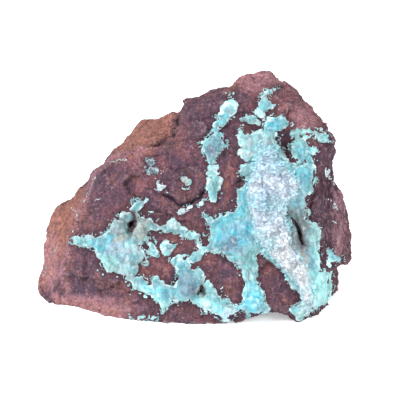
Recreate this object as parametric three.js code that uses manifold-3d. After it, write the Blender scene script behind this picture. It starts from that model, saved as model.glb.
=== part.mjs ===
// A hand-sized specimen of raw rosasite: a broken block of rusty gossan (iron oxide rock) whose display
// face carries blue-green rosasite crusts, with a druse of pale calcite crystals grown over the thickest one.
//
// Everything is laid out square to the display face: x runs across it, y up it and z out of it, in
// millimetres. The finished group then leans back and stands on its flat broken base, +Z up.
import * as THREE from "three";
import { ConvexGeometry } from "three/addons/geometries/ConvexGeometry.js";
import { LoftGeometry } from "three/addons/geometries/LoftGeometry.js";
import { ImprovedNoise } from "three/addons/math/ImprovedNoise.js";
import { mergeVertices } from "three/addons/utils/BufferGeometryUtils.js";
import Module from "manifold-3d";

const wasm = await Module();
wasm.setup();
const { lerp, smoothstep, degToRad } = THREE.MathUtils;

// ---- driving dimensions, in millimetres and degrees ----
const LEAN = degToRad(20); // how far the display face leans back from upright
const BASE_LINE = -24.4; // where the front of the base crosses the plane of the display face
const BASE_DROP = 1.2; // how far the block reaches below its base before it is cut flat
const GAP = 0.3; // clear space between one mineral and the next
const ROCK_STEP = { front: 6, back: 10 }; // longest triangle edge on the rock
const FRONT_DEPTH = -11; // deeper than this the rock takes the coarser step
const CRUST_STEP = 2.8; // longest triangle edge on a crust
const CRUST_EDGE = 0.6; // height of a crust at its rim
const CRUST_SHOULDER = 2.2; // distance from its rim at which a crust reaches its full height
const CRUST_LUMP = { height: 0.6, across: 2.6 }; // unevenness of a crust's top
const SINK = 1.8; // how far a crust starts inside what it covers, before that is cut away from it
const STEEPEST = 3; // on a slope a crust counts as at most this many times as deep as on the level
const DRUSE_BED = 0.5; // height of the calcite between its crystals
const LUMP_SUNK = 0.55; // share of a lump's radius that its middle lies below the top of its crust
const WELD = 1e-4; // points closer than this are one
const CREEP = 0.3; // step back towards the display face where nothing lies below
const SKY = 60; // a height well above the display face, to look down from
const BEYOND = 200; // side of a box that is larger than the specimen

// A flat break is given by a point on it and its outward direction.
const BASE = { at: [0, BASE_LINE, 0], out: [0, -Math.cos(LEAN), -Math.sin(LEAN)] };
const BREAKS = {
  back: { at: [0, 0, -28.5], out: [0.05, 0.5, -1] },
  back_top: { at: [10, 20, -17], out: [0.15, 0.9, -0.75] },
  back_top_left: { at: [-10, 12, -19.5], out: [-0.35, 0.8, -0.7] },
  back_left: { at: [-25, -8, -21], out: [-0.9, 0.1, -0.75] },
  back_right: { at: [28, 0, -22], out: [0.95, 0.15, -0.6] },
  back_low_left: { at: [-10, -12, -30], out: [-0.35, -0.1, -1] },
  back_corner: { at: [20, 6, -26], out: [0.5, 0.45, -0.9] },
  foot_left: { at: [-17.5, -20.8, -2.6], out: [-0.35, -0.75, 0.75] },
  left_plane: { at: [-14, 1, -3.3], out: [-0.16, 0.08, 1] },
  top_right: { at: [21, 17, -6], out: [0.3, 0.45, 1] },
};

// Low plates that stand up from the display face: height above it, and their outline.
const PLATES = {
  middle_slab: {
    height: 0.9,
    outline: [
      [-10.9, 10.4], [-4.7, 10.8], [-1.6, 9.6], [1.2, 7], [2.2, 4], [0.6, 1.6], [-2, 0], [-4.9, 1],
      [-10, 5.6],
    ],
  },
  upper_block: {
    height: 0.8,
    outline: [[-2.4, 12.4], [-2.6, 17], [0.8, 19], [5.6, 19.6], [4.6, 16], [1.2, 13]],
  },
  peak_block: { height: 1, outline: [[8.4, 17.6], [9.2, 22], [13, 23], [16.8, 21], [14.6, 18.6]] },
};

// Rounded swells of bare rock between the crusts: [x, y, radius, height].
const SWELLS = [
  [4.6, -16, 5, 1], [-2.6, -9.8, 2.4, 0.6], [-6.8, -13.6, 3.2, 0.7], [14.4, -18, 3.6, 0.8], [6.6, 9, 3, 0.6],
];

// Hollows that go into the rock: [x, y, z, half width, half height, half depth].
const HOLLOWS = {
  right_vug: [20.8, -6.6, -1, 1.3, 3, 3],
  left_slit: [-12.7, -4.2, -2.6, 0.8, 2, 2.6],
  lower_pit: [1.4, -18, 0.6, 0.8, 1.4, 1.8],
  top_pit: [17.9, 10, -3.2, 1.3, 2, 1.6],
};

// V-shaped cracks along the foot of the middle slab and of the ledge above it: points along each.
const CRACKS = {
  slab_foot: [[-8, 2.6], [-5, 0.4], [-2.4, -0.6], [0.6, 0.8], [2.6, 3.8], [2.4, 7]],
  ledge_foot: [[-10, 10.9], [-6.6, 11.4], [-4.2, 12.8]],
};
const CRACK = { width: 0.9, depth: 1.5 };

// Round the widest outline of the block, from the lower left corner, along the foot, up the right side,
// over the top and down the left side: [x, y, depth z, bevel, lip]. The bevel is how far inward the
// display face starts, and the lip is its depth there. A depth of null puts the point on the base.
const OUTLINE = [
  [-29.2, -20, null, 4.2, -8.6], [-24, -20.9, null, 3.6, -6.2], [-19, -22.2, null, 3.4, -3.2],
  [-15, -24.1, null, 3, -0.6], [-8, -24.4, null, 2.6, 0.6], [0, -24.4, null, 2.4, 0.8],
  [6, -24.3, null, 2.2, 0.8], [10, -23.3, -1, 1.8, 0.8], [14, -22.5, -1.2, 1.6, 0.6],
  [18, -22.6, -1.2, 1.6, 0.4],
  [21.4, -24, null, 2.4, 0.2], [25, -21.8, null, 2.8, -1.2], [28.3, -17.6, null, 3, -2.4],
  [28.4, -14.8, -15, 2.8, -3], [28.2, -13.4, -13, 2.6, -3.2], [30.9, -12.9, -15, 5.4, -3.4],
  [31, -9, -16, 6, -3.2], [30.6, -5, -17, 6, -3], [30.1, -1.5, -16.5, 6.2, -3.2], [29.6, 1.2, -15, 5.4, -3.4],
  [28.4, 3, -13, 4.2, -3.4], [27.4, 6, -12, 3, -3.8], [27, 9.6, -11, 2.2, -4.4], [27.7, 12, -10.4, 2.6, -5],
  [26.8, 13.4, -10, 2.8, -5.2], [25, 15.4, -10, 2.6, -5.2], [22.4, 19, -10.6, 3.2, -5.4],
  [20.6, 20.9, -11, 3.4, -5.2], [19.2, 22.6, -11, 3.8, -5], [17.2, 23.8, -11, 4, -4.8],
  [15.2, 25.7, -11, 4.8, -4.6], [13.4, 25.3, -10.6, 4.4, -4.4], [12.2, 24.6, -10, 4, -4.4],
  [9.4, 24.7, -9.8, 4.4, -4.4], [7.6, 22.7, -9.2, 3.2, -4.4], [3.8, 22.1, -9, 3.2, -4.6],
  [0.8, 20.7, -8.8, 2.4, -4.8], [-1.8, 20.5, -8.6, 2.6, -4.8], [-3.1, 17.6, -10, 2.2, -4.6],
  [-7, 16.7, -13, 5, -4.4], [-10.8, 16, -14, 5.4, -4.6], [-13.4, 13, -13.6, 3.6, -5],
  [-16, 10.2, -13, 1.4, -5.6],
  [-18, 7.2, -13.4, 1.6, -5.8], [-20.4, 5.8, -13.8, 2.2, -5.8], [-24, 1, -14.6, 3.4, -5.8],
  [-27.4, -1.8, -15, 4.4, -5.8], [-29.2, -6, -15, 5.2, -6], [-30.4, -13, -15.6, 5, -7],
  [-30.8, -17.2, -16, 4.8, -8],
];
const FACE_CENTRE = new THREE.Vector2(1, -3); // what the bevel and the inner rings shrink towards
// Rings inside the display face: share of its edge kept, how much of the way they go from the lip's depth
// to the dome's, and how many neighbouring points run together, to keep the triangles wide.
const FACE_RINGS = [
  { keep: 0.76, rise: 0.9, join: 1 },
  { keep: 0.48, rise: 1, join: 2 },
  { keep: 0.2, rise: 1, join: 5 },
];
// Rings behind the outline, from the back: share of its size kept, depth, and points run together.
const BACK_RINGS = [
  { keep: 0.22, z: -40, join: 5 },
  { keep: 0.6, z: -38, join: 2 },
  { keep: 0.9, z: -32, join: 1 },
];

// ---- the crusts: outline, bare islands inside it, full height, and rounded lumps [x, y, radius] ----
const CRUSTS = {
  rosasite_crust_main: {
    height: 1.5,
    outline: [
      [8.6, 14.2], [9.2, 13.6], [13.2, 13.4], [13.8, 16], [16.2, 17.4], [19, 15.8], [19.6, 15], [17.2, 14],
      [15.6, 12.2], [17.2, 11.4], [18.2, 7.8], [20, 7], [20.4, 8.2], [18.8, 10.4], [20.2, 13.6], [21, 12.8],
      [25.6, 14.4], [27.2, 12.6], [27, 11.8], [24.2, 12.4], [21.6, 12.2], [24.8, 9.8], [23.6, 9], [22.6, 9.6],
      [21.6, 8.4], [21.6, 7.4], [23.8, 6.8], [24.4, 4.2], [21.4, -2.6], [22.8, -4.4], [25, -4.6],
      [25.2, -11.2], [24.6, -13.2], [27.6, -15.2], [27.8, -18], [26.8, -20.6], [23.8, -22], [22, -24],
      [20.6, -24], [19, -21.8], [19.4, -20.8], [21.4, -20], [20.8, -18.2], [18.8, -16.8], [17.2, -13.6],
      [12.6, -10.2], [12, -10.8], [12.6, -13.6], [12.2, -15.6], [13.6, -17.6], [14.8, -22.4], [11.8, -23.2],
      [9.2, -21.8], [7, -24], [5.4, -23.8], [0.2, -20.4], [-4.4, -20.2], [-6.4, -22.4], [-7.2, -20.4],
      [-12.6, -17.4], [-12.8, -16.4], [-15.6, -14], [-18, -14.6], [-19.8, -10], [-24.8, -8.6], [-24.6, -7.4],
      [-18.2, -6.6], [-17.2, -5], [-15.4, -4.2], [-15.6, -3.2], [-13.6, -2], [-12.2, 0.2], [-9.4, 0.2],
      [-11.2, -2], [-10.4, -3], [-8.4, -2.4], [-8, -3.6], [-6.6, -4.2], [-4.6, -3.6], [-1.4, -6],
      [3.2, -7.2], [1.6, -2.4], [3.6, -3.4], [8.4, -1.6], [8.4, 2.4], [10.4, 3.4], [8.8, 5.6], [9, 6.6],
      [11.6, 7.6], [8.8, 9], [8.6, 9.6], [10, 10.6], [8.8, 12.4],
    ],
    islands: [
      [
        [-9.6, -5.8], [-7.6, -6.6], [-4.6, -6], [-2.6, -7.8], [0.2, -7.8], [0.6, -10], [0, -10.8],
        [-5.2, -11.8], [-3.4, -13.6], [-4, -16.2], [-5, -16.8], [-8.2, -15.2], [-9, -17.2], [-9.6, -15.2],
        [-11.6, -14.8], [-11.4, -12.8], [-10, -10.8], [-10.8, -8.8], [-9.4, -7.8],
      ],
      [[1, -7.6], [2.4, -8.2], [2.2, -9.2], [1.4, -8.6]],
      [
        [-0.8, -12.4], [1, -11.6], [1.6, -10.4], [2.6, -10], [5, -10.6], [8.6, -12.8], [9.4, -13.6],
        [10, -16], [9.8, -19.6], [9.2, -20.6], [7, -20.8], [2.2, -15.8], [1.4, -13.6], [-0.6, -13],
      ],
      [[1.2, -16.8], [2, -19], [0.8, -18.2]],
      [[11, -13.4], [11.4, -16], [10.4, -14.8]],
      [[19, -3.4], [20, -3.2], [21, -5.2], [22, -8], [21.8, -9.2], [21, -9], [20.4, -7.8], [19.8, -5]],
      [[-12.4, -2.4], [-12, -3.6], [-12.2, -5.2], [-12.8, -6], [-13.4, -5.6]],
    ],
    lumps: [
      [-15.4, -5.8, 1.8], [-11.2, -6.2, 1.8], [-13.6, -11.6, 1.7], [-1.6, -18, 1.8], [11.8, -21, 1.8],
      [20.6, -0.4, 1.5], [23, -7.6, 1.6], [25.8, -17.6, 1.8], [22.4, 5.6, 1.7],
    ],
  },
  rosasite_vein_upper: {
    height: 1,
    outline: [
      [7.8, 21.6], [7.2, 19.8], [8.2, 18.2], [6.2, 14.6], [5, 14.2], [6.4, 11.6], [4, 7.8], [4.6, 5],
      [5.4, 4.2], [4.2, 0], [2.2, 0], [1, -1.4], [0.4, -1], [2.6, 0.6], [2.2, 2.6], [3, 6], [0.8, 11.6],
      [2.6, 12.6], [3.8, 14.4], [4, 16.6], [5.8, 17.8], [6.8, 20.6],
    ],
    lumps: [[3.8, 10.4, 1.3]],
  },
  rosasite_vein_top: {
    height: 0.9,
    outline: [
      [17, 22.6], [15.2, 21.2], [15, 20.2], [16, 19], [15.6, 18.2], [14.6, 18.2], [12, 16.2], [12.6, 15.4],
      [12.2, 15], [9.2, 16], [12.6, 18], [12.6, 20.2], [13.8, 22],
    ],
  },
  rosasite_patch_upper_left: {
    height: 0.8,
    outline: [
      [-9.6, 8.4], [-8.8, 8], [-8, 8.2], [-7.8, 7], [-7.2, 6], [-7.4, 5.2], [-9.2, 5.2], [-9.8, 6], [-9.2, 7],
    ],
  },
  rosasite_patch_middle: { height: 0.8, outline: [[-7.2, 3.8], [-5.6, 2.8], [-7.2, 1.6], [-7.8, 2.2]] },
  rosasite_patch_pale: {
    height: 0.8,
    outline: [[-2.2, 5.6], [-0.8, 3.2], [-1.2, 2], [-2.2, 2], [-2.8, 4.6]],
  },
  rosasite_patch_streak: {
    height: 0.7,
    outline: [[-3.2, -2.4], [-2.4, -1.6], [-0.6, -0.8], [-1, -1.8], [-3, -2.8]],
  },
  rosasite_patch_island_left: {
    height: 0.9,
    outline: [
      [-9.8, -8.4], [-9, -8.2], [-8, -9.2], [-7, -10.8], [-7.4, -11.4], [-8.4, -11], [-9.2, -11.2],
      [-9.6, -10.4], [-9.4, -9.4],
    ],
  },
  rosasite_patch_island_right: {
    height: 0.9,
    outline: [
      [-6.6, -8.8], [-5.8, -8], [-3.6, -8.6], [-4.6, -10.2], [-5.4, -10.8], [-6.2, -10.4], [-6, -9.4],
    ],
  },
  rosasite_strip_right_edge: {
    height: 0.8,
    outline: [
      [26.2, -8.8], [27.2, -9.8], [28.4, -11.4], [29.5, -11.6], [29.7, -12.4], [28.2, -12.6], [27.7, -13.4],
      [27.3, -14.6], [26.8, -14.2], [27.2, -12.8], [26.4, -11],
    ],
  },
};

// Knobs of rosasite that stand proud of the front foot: [x, y, radius].
const FOOT_KNOBS = [[-11.6, -23.2, 1.1], [-10, -23.5, 1.3], [-8, -23.4, 1.1]];

// The druse of calcite crystals over the thick right part of the main crust.
const DRUSE_OUTLINE = [
  [13.2, 12], [14.6, 12.4], [16, 11], [17, 8], [19.6, 5.4], [21, 2.6], [19.6, 0.8], [18.2, -0.8], [18, -3],
  [18.8, -6.4], [20.2, -9.8], [22.4, -13.2], [24, -18.6], [23, -20.8], [21.8, -20.8], [21, -17.6],
  [18.4, -14.4], [14.4, -10.4], [11.8, -7.4], [11.6, -3.2], [10.6, -1.6], [10.4, 2.8], [12.2, 6.4],
  [11.8, 8.4], [12.2, 10.4],
];
const CRYSTAL = { smallest: 1, largest: 2.4, spacing: 2.3, shear: 0.28, seed: 7 }; // rhombs, by edge length

// ---- small tools ----
const noise = new ImprovedNoise();

// One closed solid from a geometry; triangles whose corners run together are dropped.
function solid(geometry) {
  const plain = new THREE.BufferGeometry();
  plain.setAttribute("position", geometry.getAttribute("position"));
  if (geometry.index) plain.setIndex(geometry.index);
  const merged = mergeVertices(plain, WELD);
  const corners = merged.index.array;
  const triVerts = [];
  for (let i = 0; i < corners.length; i += 3) {
    const triangle = corners.slice(i, i + 3);
    if (new Set(triangle).size === 3) triVerts.push(...triangle);
  }
  return new wasm.Manifold(
    new wasm.Mesh({
      numProp: 3,
      vertProperties: new Float32Array(merged.getAttribute("position").array),
      triVerts: new Uint32Array(triVerts),
    }),
  );
}

// A geometry from a solid.
function geometryOf(made) {
  const mesh = made.getMesh();
  const points = new Float32Array(mesh.numVert * 3);
  for (let i = 0; i < mesh.numVert; i++) {
    const at = i * mesh.numProp;
    points.set(mesh.vertProperties.subarray(at, at + 3), i * 3);
  }
  const geometry = new THREE.BufferGeometry();
  geometry.setAttribute("position", new THREE.BufferAttribute(points, 3));
  geometry.setIndex(new THREE.BufferAttribute(mesh.triVerts, 1));
  return geometry;
}

const union = (solids) => wasm.Manifold.union(solids);

// The largest closed body of a solid: cutting can leave loose crumbs, which fall away.
const largest = (made) => made.decompose().sort((a, b) => b.volume() - a.volume())[0];

// Splits every edge that is longer than allowed(middle of the edge), so that neighbours always agree.
function tessellate(geometry, allowed) {
  const flat = geometry.index ? geometry.toNonIndexed() : geometry;
  const position = flat.getAttribute("position");
  const waiting = [];
  for (let i = 0; i < position.count; i += 3) {
    waiting.push([0, 1, 2].map((k) => new THREE.Vector3().fromBufferAttribute(position, i + k)));
  }
  const done = [];
  while (waiting.length) {
    const triangle = waiting.pop();
    let worst = 1;
    let split = -1;
    let middle = null;
    for (let k = 0; k < 3; k++) {
      const a = triangle[k];
      const b = triangle[(k + 1) % 3];
      const half = new THREE.Vector3().addVectors(a, b).multiplyScalar(0.5);
      const ratio = a.distanceTo(b) / allowed(half);
      if (ratio > worst) [worst, split, middle] = [ratio, k, half];
    }
    if (split < 0) {
      done.push(...triangle);
      continue;
    }
    const [a, b, c] = [0, 1, 2].map((k) => triangle[(split + k) % 3]);
    waiting.push([a, middle, c], [middle, b, c]);
  }
  return mergeVertices(new THREE.BufferGeometry().setFromPoints(done), WELD);
}

// Calls move(point, i) for every point of a geometry, and keeps what it makes of the point.
function movePoints(geometry, move) {
  const position = geometry.getAttribute("position");
  const p = new THREE.Vector3();
  for (let i = 0; i < position.count; i++) {
    move(p.fromBufferAttribute(position, i), i);
    position.setXYZ(i, p.x, p.y, p.z);
  }
  return geometry;
}

// Everything beyond a plane, as a large box that stands on it.
function beyond({ at, out }, raised = 0) {
  const direction = new THREE.Vector3(...out).normalize();
  const box = new THREE.BoxGeometry(BEYOND, BEYOND, BEYOND).translate(0, 0, BEYOND / 2 - raised);
  const turn = new THREE.Quaternion().setFromUnitVectors(new THREE.Vector3(0, 0, 1), direction);
  return solid(box.applyQuaternion(turn).translate(...at));
}

// The front surface of some solids at (x, y) of the display face: its depth, and how many times as deep
// as on the level something of one thickness is there. Past their edge it is the surface that is nearest
// on the way to the middle of the face.
function surfaceOf(...solids) {
  const targets = solids.map((made) => new THREE.Mesh(geometryOf(made)));
  const caster = new THREE.Raycaster();
  const down = new THREE.Vector3(0, 0, -1);
  return (x, y) => {
    const from = new THREE.Vector2(x, y);
    const inward = FACE_CENTRE.clone().sub(from).setLength(CREEP);
    for (;;) {
      caster.set(new THREE.Vector3(from.x, from.y, SKY), down);
      const hit = caster.intersectObjects(targets)[0];
      if (hit) return { z: hit.point.z, steepness: Math.min(1 / hit.face.normal.z, STEEPEST) };
      from.add(inward);
    }
  };
}

// Whether (x, y) lies inside a closed outline: whether a line to its right crosses an odd number of sides.
function contains(outline, x, y) {
  const crossed = outline.filter(([x1, y1], i) => {
    const [x0, y0] = outline.at(i - 1);
    return y0 > y !== y1 > y && x < lerp(x0, x1, (y - y0) / (y1 - y0));
  });
  return crossed.length % 2 === 1;
}

// How far (x, y) lies inside an outline from its nearest side or island; 0 outside it or on an island.
function distanceInto(outline, islands = []) {
  const corner = ([x, y]) => new THREE.Vector3(x, y, 0);
  const sides = [outline, ...islands].flatMap((points) =>
    points.map((point, i) => new THREE.Line3(corner(points.at(i - 1)), corner(point))),
  );
  const nearest = new THREE.Vector3();
  return (x, y) => {
    if (!contains(outline, x, y) || islands.some((island) => contains(island, x, y))) return 0;
    const p = corner([x, y]);
    return Math.min(...sides.map((side) => side.closestPointToPoint(p, true, nearest).distanceTo(p)));
  };
}

// A repeatable stream of numbers from 0 to 1.
function randomStream(seed) {
  let state = seed;
  return () => {
    state = (state * 1664525 + 1013904223) % 4294967296;
    return state / 4294967296;
  };
}

// ---- the gossan block: one loft through rings, from its back to the middle of its display face ----

// The depth of the base plane below point y of the display face's plane.
const baseDepth = (y) => -(y - BASE_LINE) / Math.tan(LEAN);

// The depth of the display face, a shallow dome.
const domeDepth = (x, y) => 0.4 - 0.0065 * (x - 2) ** 2 - 0.0042 * (y + 12) ** 2;

// Neighbouring points of a ring run together in groups.
const runTogether = (ring, join) => ring.map((_, i) => ring[i - (i % join)].clone());

function rockRings() {
  const drop = BASE_DROP * Math.cos(LEAN);
  const rim = OUTLINE.map(([x, y, z]) =>
    z === null ? new THREE.Vector3(x, y - drop, baseDepth(y)) : new THREE.Vector3(x, y, z),
  );
  const lip = OUTLINE.map(([x, y, , bevel, z]) => {
    const inward = FACE_CENTRE.clone().sub(new THREE.Vector2(x, y)).setLength(bevel);
    return new THREE.Vector3(x + inward.x, y + inward.y, z);
  });
  const towardsCentre = (p, keep) =>
    new THREE.Vector3(lerp(FACE_CENTRE.x, p.x, keep), lerp(FACE_CENTRE.y, p.y, keep), p.z);
  const face = FACE_RINGS.map(({ keep, rise, join }) => {
    const ring = lip.map((p) => towardsCentre(p, keep));
    for (const p of ring) p.z = lerp(p.z, domeDepth(p.x, p.y), rise);
    return runTogether(ring, join);
  });
  const back = BACK_RINGS.map(({ keep, z, join }) =>
    runTogether(rim.map((p) => towardsCentre(p, keep).setZ(z)), join),
  );
  return [...back, rim, lip, ...face];
}

// A low plate on the display face, wider at its foot than on top.
function plate({ height, outline }) {
  const middle = outline.reduce((sum, [x, y]) => sum.add(new THREE.Vector2(x, y)), new THREE.Vector2());
  middle.divideScalar(outline.length);
  const corners = outline.flatMap(([x, y]) => [
    new THREE.Vector3(x, y, domeDepth(x, y) + height),
    new THREE.Vector3(lerp(middle.x, x, 1.2), lerp(middle.y, y, 1.2), domeDepth(x, y) - 4),
  ]);
  return solid(new ConvexGeometry(corners));
}

// Broken rock is uneven at every scale: wide waves, then lumps, with ribs down the right flank.
const WAVE = { height: 0.8, across: 11 };
const LUMP = { height: 0.45, across: 5 };
const RIB = { height: 0.6, across: 3, long: 9, from: 24, full: 27 };
function roughness(p) {
  const wave = WAVE.height * noise.noise(p.x / WAVE.across, p.y / WAVE.across, p.z / WAVE.across);
  const lump = LUMP.height * noise.noise(p.x / LUMP.across, p.y / LUMP.across, p.z / LUMP.across);
  const ridged = 0.5 - Math.abs(noise.noise(p.x / RIB.across, p.y / RIB.long, p.z / RIB.across));
  const rib = RIB.height * smoothstep(p.x, RIB.from, RIB.full) * ridged;
  const swells = SWELLS.map(([x, y, radius, height]) => {
    const near = 1 - smoothstep(Math.hypot(p.x - x, p.y - y), 0, radius);
    return p.z > FRONT_DEPTH ? height * near : 0;
  });
  return wave + lump + rib + Math.max(...swells);
}

function hollow([x, y, z, halfWidth, halfHeight, halfDepth]) {
  const ball = new THREE.IcosahedronGeometry(1, 1);
  return solid(ball.scale(halfWidth, halfHeight, halfDepth).translate(x, y, z));
}

// A V-shaped wedge that follows a crack over the surface, made of one hull for each stretch.
function crack(points, surface) {
  const stretches = points.slice(1).map((end, i) => {
    const start = points[i];
    const along = new THREE.Vector2(end[0] - start[0], end[1] - start[1]).normalize();
    const side = [(-along.y * CRACK.width) / 2, (along.x * CRACK.width) / 2];
    const corners = [start, end].flatMap(([x, y]) => {
      const { z } = surface(x, y);
      return [
        new THREE.Vector3(x, y, z - CRACK.depth),
        new THREE.Vector3(x + side[0], y + side[1], z + CRACK.depth),
        new THREE.Vector3(x - side[0], y - side[1], z + CRACK.depth),
      ];
    });
    return solid(new ConvexGeometry(corners));
  });
  return union(stretches);
}

function gossan() {
  const loft = solid(new LoftGeometry(rockRings(), { capStart: true, capEnd: true }));
  const plated = union([loft, ...Object.values(PLATES).map(plate)]);
  const broken = geometryOf(plated.subtract(union(Object.values(BREAKS).map((plane) => beyond(plane)))));
  const fine = tessellate(broken, (p) => (p.z > FRONT_DEPTH ? ROCK_STEP.front : ROCK_STEP.back));
  fine.computeVertexNormals();
  const normals = fine.getAttribute("normal");
  const normal = new THREE.Vector3();
  const rough = solid(
    movePoints(fine, (p, i) => p.addScaledVector(normal.fromBufferAttribute(normals, i), roughness(p))),
  );
  const surface = surfaceOf(rough);
  const cuts = [
    beyond(BASE),
    ...Object.values(HOLLOWS).map(hollow),
    ...Object.values(CRACKS).map((points) => crack(points, surface)),
  ];
  return largest(rough.subtract(union(cuts)));
}

// ---- the crusts ----

const pointsOf = (outline) => outline.map(([x, y]) => new THREE.Vector2(x, y));

// A prism of an outline without its islands, straight through the specimen. Outlines and islands alike
// are listed clockwise, and a hole in a shape runs the other way.
function prism({ outline, islands = [] }) {
  const shape = new THREE.Shape(pointsOf(outline));
  shape.holes = islands.map((island) => new THREE.Path(pointsOf(island).reverse()));
  const straight = new THREE.ExtrudeGeometry(shape, { depth: 2 * SKY, bevelEnabled: false });
  return solid(straight.translate(0, 0, -SKY));
}

// A blanket laid over a surface: it starts below the surface and stands above it by height(x, y), with
// the same thickness on a slope as on the level.
function blanket(outline, step, surface, height) {
  const bounds = new THREE.Box2().setFromPoints(pointsOf(outline)).expandByScalar(step);
  const { x: width, y: length } = bounds.getSize(new THREE.Vector2());
  const middle = bounds.getCenter(new THREE.Vector2());
  const sheet = new THREE.BoxGeometry(width, length, 1, Math.ceil(width / step), Math.ceil(length / step), 1);
  return solid(
    movePoints(sheet.translate(middle.x, middle.y, 0), (p) => {
      const { z, steepness } = surface(p.x, p.y);
      p.z = z + steepness * (p.z > 0 ? height(p.x, p.y) : -SINK);
    }),
  );
}

// What keeps a crust clear of what it grows on: that solid, and the same solid moved out by the gap.
const clearance = (made) => union([made, made.translate([0, 0, GAP])]);

function rosasiteCrust({ outline, islands = [], height, lumps = [] }, rock) {
  const surface = surfaceOf(rock);
  const inward = distanceInto(outline, islands);
  const stands = (x, y) => {
    const shoulder = smoothstep(inward(x, y), 0, CRUST_SHOULDER);
    const lumpy = CRUST_LUMP.height * noise.noise(x / CRUST_LUMP.across, y / CRUST_LUMP.across, 0);
    return GAP + lerp(CRUST_EDGE, height + lumpy, shoulder);
  };
  const skin = blanket(outline, CRUST_STEP, surface, stands).intersect(prism({ outline, islands }));
  const balls = lumps.map(([x, y, radius]) => {
    const ball = new THREE.IcosahedronGeometry(radius, 1);
    return solid(ball.translate(x, y, surface(x, y).z + GAP + height - LUMP_SUNK * radius));
  });
  return largest(union([skin, ...balls]).subtract(clearance(rock)).subtract(beyond(BASE, GAP)));
}

function footKnobs(rock) {
  const surface = surfaceOf(rock);
  const knobs = FOOT_KNOBS.map(([x, y, radius]) =>
    solid(new THREE.IcosahedronGeometry(radius, 1).translate(x, y, surface(x, y).z)),
  );
  return largest(union(knobs).subtract(clearance(rock)).subtract(beyond(BASE, GAP)));
}

// ---- the calcite druse: a thin bed with rhombs of calcite all over it ----

function rhomb(edge, random) {
  const box = new THREE.BoxGeometry(edge, edge, edge);
  box.applyMatrix4(new THREE.Matrix4().makeShear(CRYSTAL.shear, CRYSTAL.shear, 0, CRYSTAL.shear, 0, 0));
  const turn = new THREE.Euler(random() * Math.PI, random() * Math.PI, random() * Math.PI);
  return box.applyQuaternion(new THREE.Quaternion().setFromEuler(turn));
}

function calciteDruse(rock, crust) {
  const random = randomStream(CRYSTAL.seed);
  const surface = surfaceOf(rock, crust);
  const inward = distanceInto(DRUSE_OUTLINE);
  const bed = blanket(DRUSE_OUTLINE, CRUST_STEP, surface, () => GAP + DRUSE_BED);
  const bounds = new THREE.Box2().setFromPoints(pointsOf(DRUSE_OUTLINE));
  const crystals = [];
  for (let rowY = bounds.min.y; rowY < bounds.max.y; rowY += CRYSTAL.spacing) {
    for (let columnX = bounds.min.x; columnX < bounds.max.x; columnX += CRYSTAL.spacing) {
      const x = columnX + random() * CRYSTAL.spacing;
      const y = rowY + random() * CRYSTAL.spacing;
      const edge = lerp(CRYSTAL.smallest, CRYSTAL.largest, random() * smoothstep(inward(x, y), 0, 3));
      if (inward(x, y) < edge / 3) continue;
      crystals.push(solid(rhomb(edge, random).translate(x, y, surface(x, y).z + GAP + DRUSE_BED)));
    }
  }
  const grown = union([bed.intersect(prism({ outline: DRUSE_OUTLINE })), ...crystals]);
  return largest(grown.subtract(clearance(rock)).subtract(clearance(crust)));
}

// ---- the finished specimen ----
const FINISH = {
  gossan: { color: 0x6f484a, roughness: 0.9 },
  rosasite: { color: 0x8fd3dc, roughness: 0.7 },
  calcite: { color: 0xd5e6f0, roughness: 0.25 },
};

function mesh(name, made, finish) {
  const material = new THREE.MeshStandardMaterial({ ...FINISH[finish], metalness: 0, flatShading: true });
  const piece = new THREE.Mesh(geometryOf(made), material);
  piece.name = name;
  return piece;
}

const rock = gossan();
const crusts = Object.entries(CRUSTS).map(([name, crust]) => [name, rosasiteCrust(crust, rock)]);
const [, mainCrust] = crusts[0];

const leaning = new THREE.Group();
leaning.add(mesh("gossan_matrix", rock, "gossan"));
for (const [name, crust] of crusts) leaning.add(mesh(name, crust, "rosasite"));
leaning.add(mesh("rosasite_foot", footKnobs(rock), "rosasite"));
leaning.add(mesh("calcite_druse", calciteDruse(rock, mainCrust), "calcite"));
leaning.rotation.x = Math.PI / 2 - LEAN;

// The origin is under the middle of the specimen, on the surface that it stands on.
const box = new THREE.Box3().setFromObject(leaning, true);
const centre = box.getCenter(new THREE.Vector3());
leaning.position.set(-centre.x, -centre.y, -box.min.z);

const specimen = new THREE.Group();
specimen.add(leaning);
export default specimen;
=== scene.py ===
# %% [markdown]
# # A specimen of raw rosasite
#
# The real object is a hand-sized block of gossan, the rusty iron rock that caps ore veins. Its display
# face carries crusts of rosasite, a blue-green copper and zinc carbonate that grows as tiny velvety
# balls, and over the thickest crust sits a druse (a carpet) of small milky calcite crystals.
#
# The solids that come with the frame give every piece its place and its main shape. Each one is copied,
# remade as a fine even mesh and then carved by noise, so the pieces stay where the frame puts them.

# %% Load the frame
import math
import random

import bmesh
import bpy
import numpy as np
from mathutils import Matrix, Vector, noise
from mathutils.bvhtree import BVHTree
from mathutils.kdtree import KDTree


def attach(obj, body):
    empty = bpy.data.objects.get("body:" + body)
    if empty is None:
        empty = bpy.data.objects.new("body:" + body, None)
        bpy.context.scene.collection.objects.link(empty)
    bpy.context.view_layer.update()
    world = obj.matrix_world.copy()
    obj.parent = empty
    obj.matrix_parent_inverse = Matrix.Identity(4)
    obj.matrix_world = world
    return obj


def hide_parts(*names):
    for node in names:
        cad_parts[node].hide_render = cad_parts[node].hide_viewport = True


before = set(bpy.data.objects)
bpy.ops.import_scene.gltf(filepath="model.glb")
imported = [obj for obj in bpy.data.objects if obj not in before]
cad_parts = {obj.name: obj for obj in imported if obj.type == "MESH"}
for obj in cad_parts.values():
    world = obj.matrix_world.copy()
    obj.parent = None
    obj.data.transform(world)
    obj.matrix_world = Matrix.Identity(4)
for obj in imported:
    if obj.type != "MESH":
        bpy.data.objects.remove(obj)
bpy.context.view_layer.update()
MM = 0.001  # Blender works in metres, and a specimen this small is easier to think of in millimetres
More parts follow.
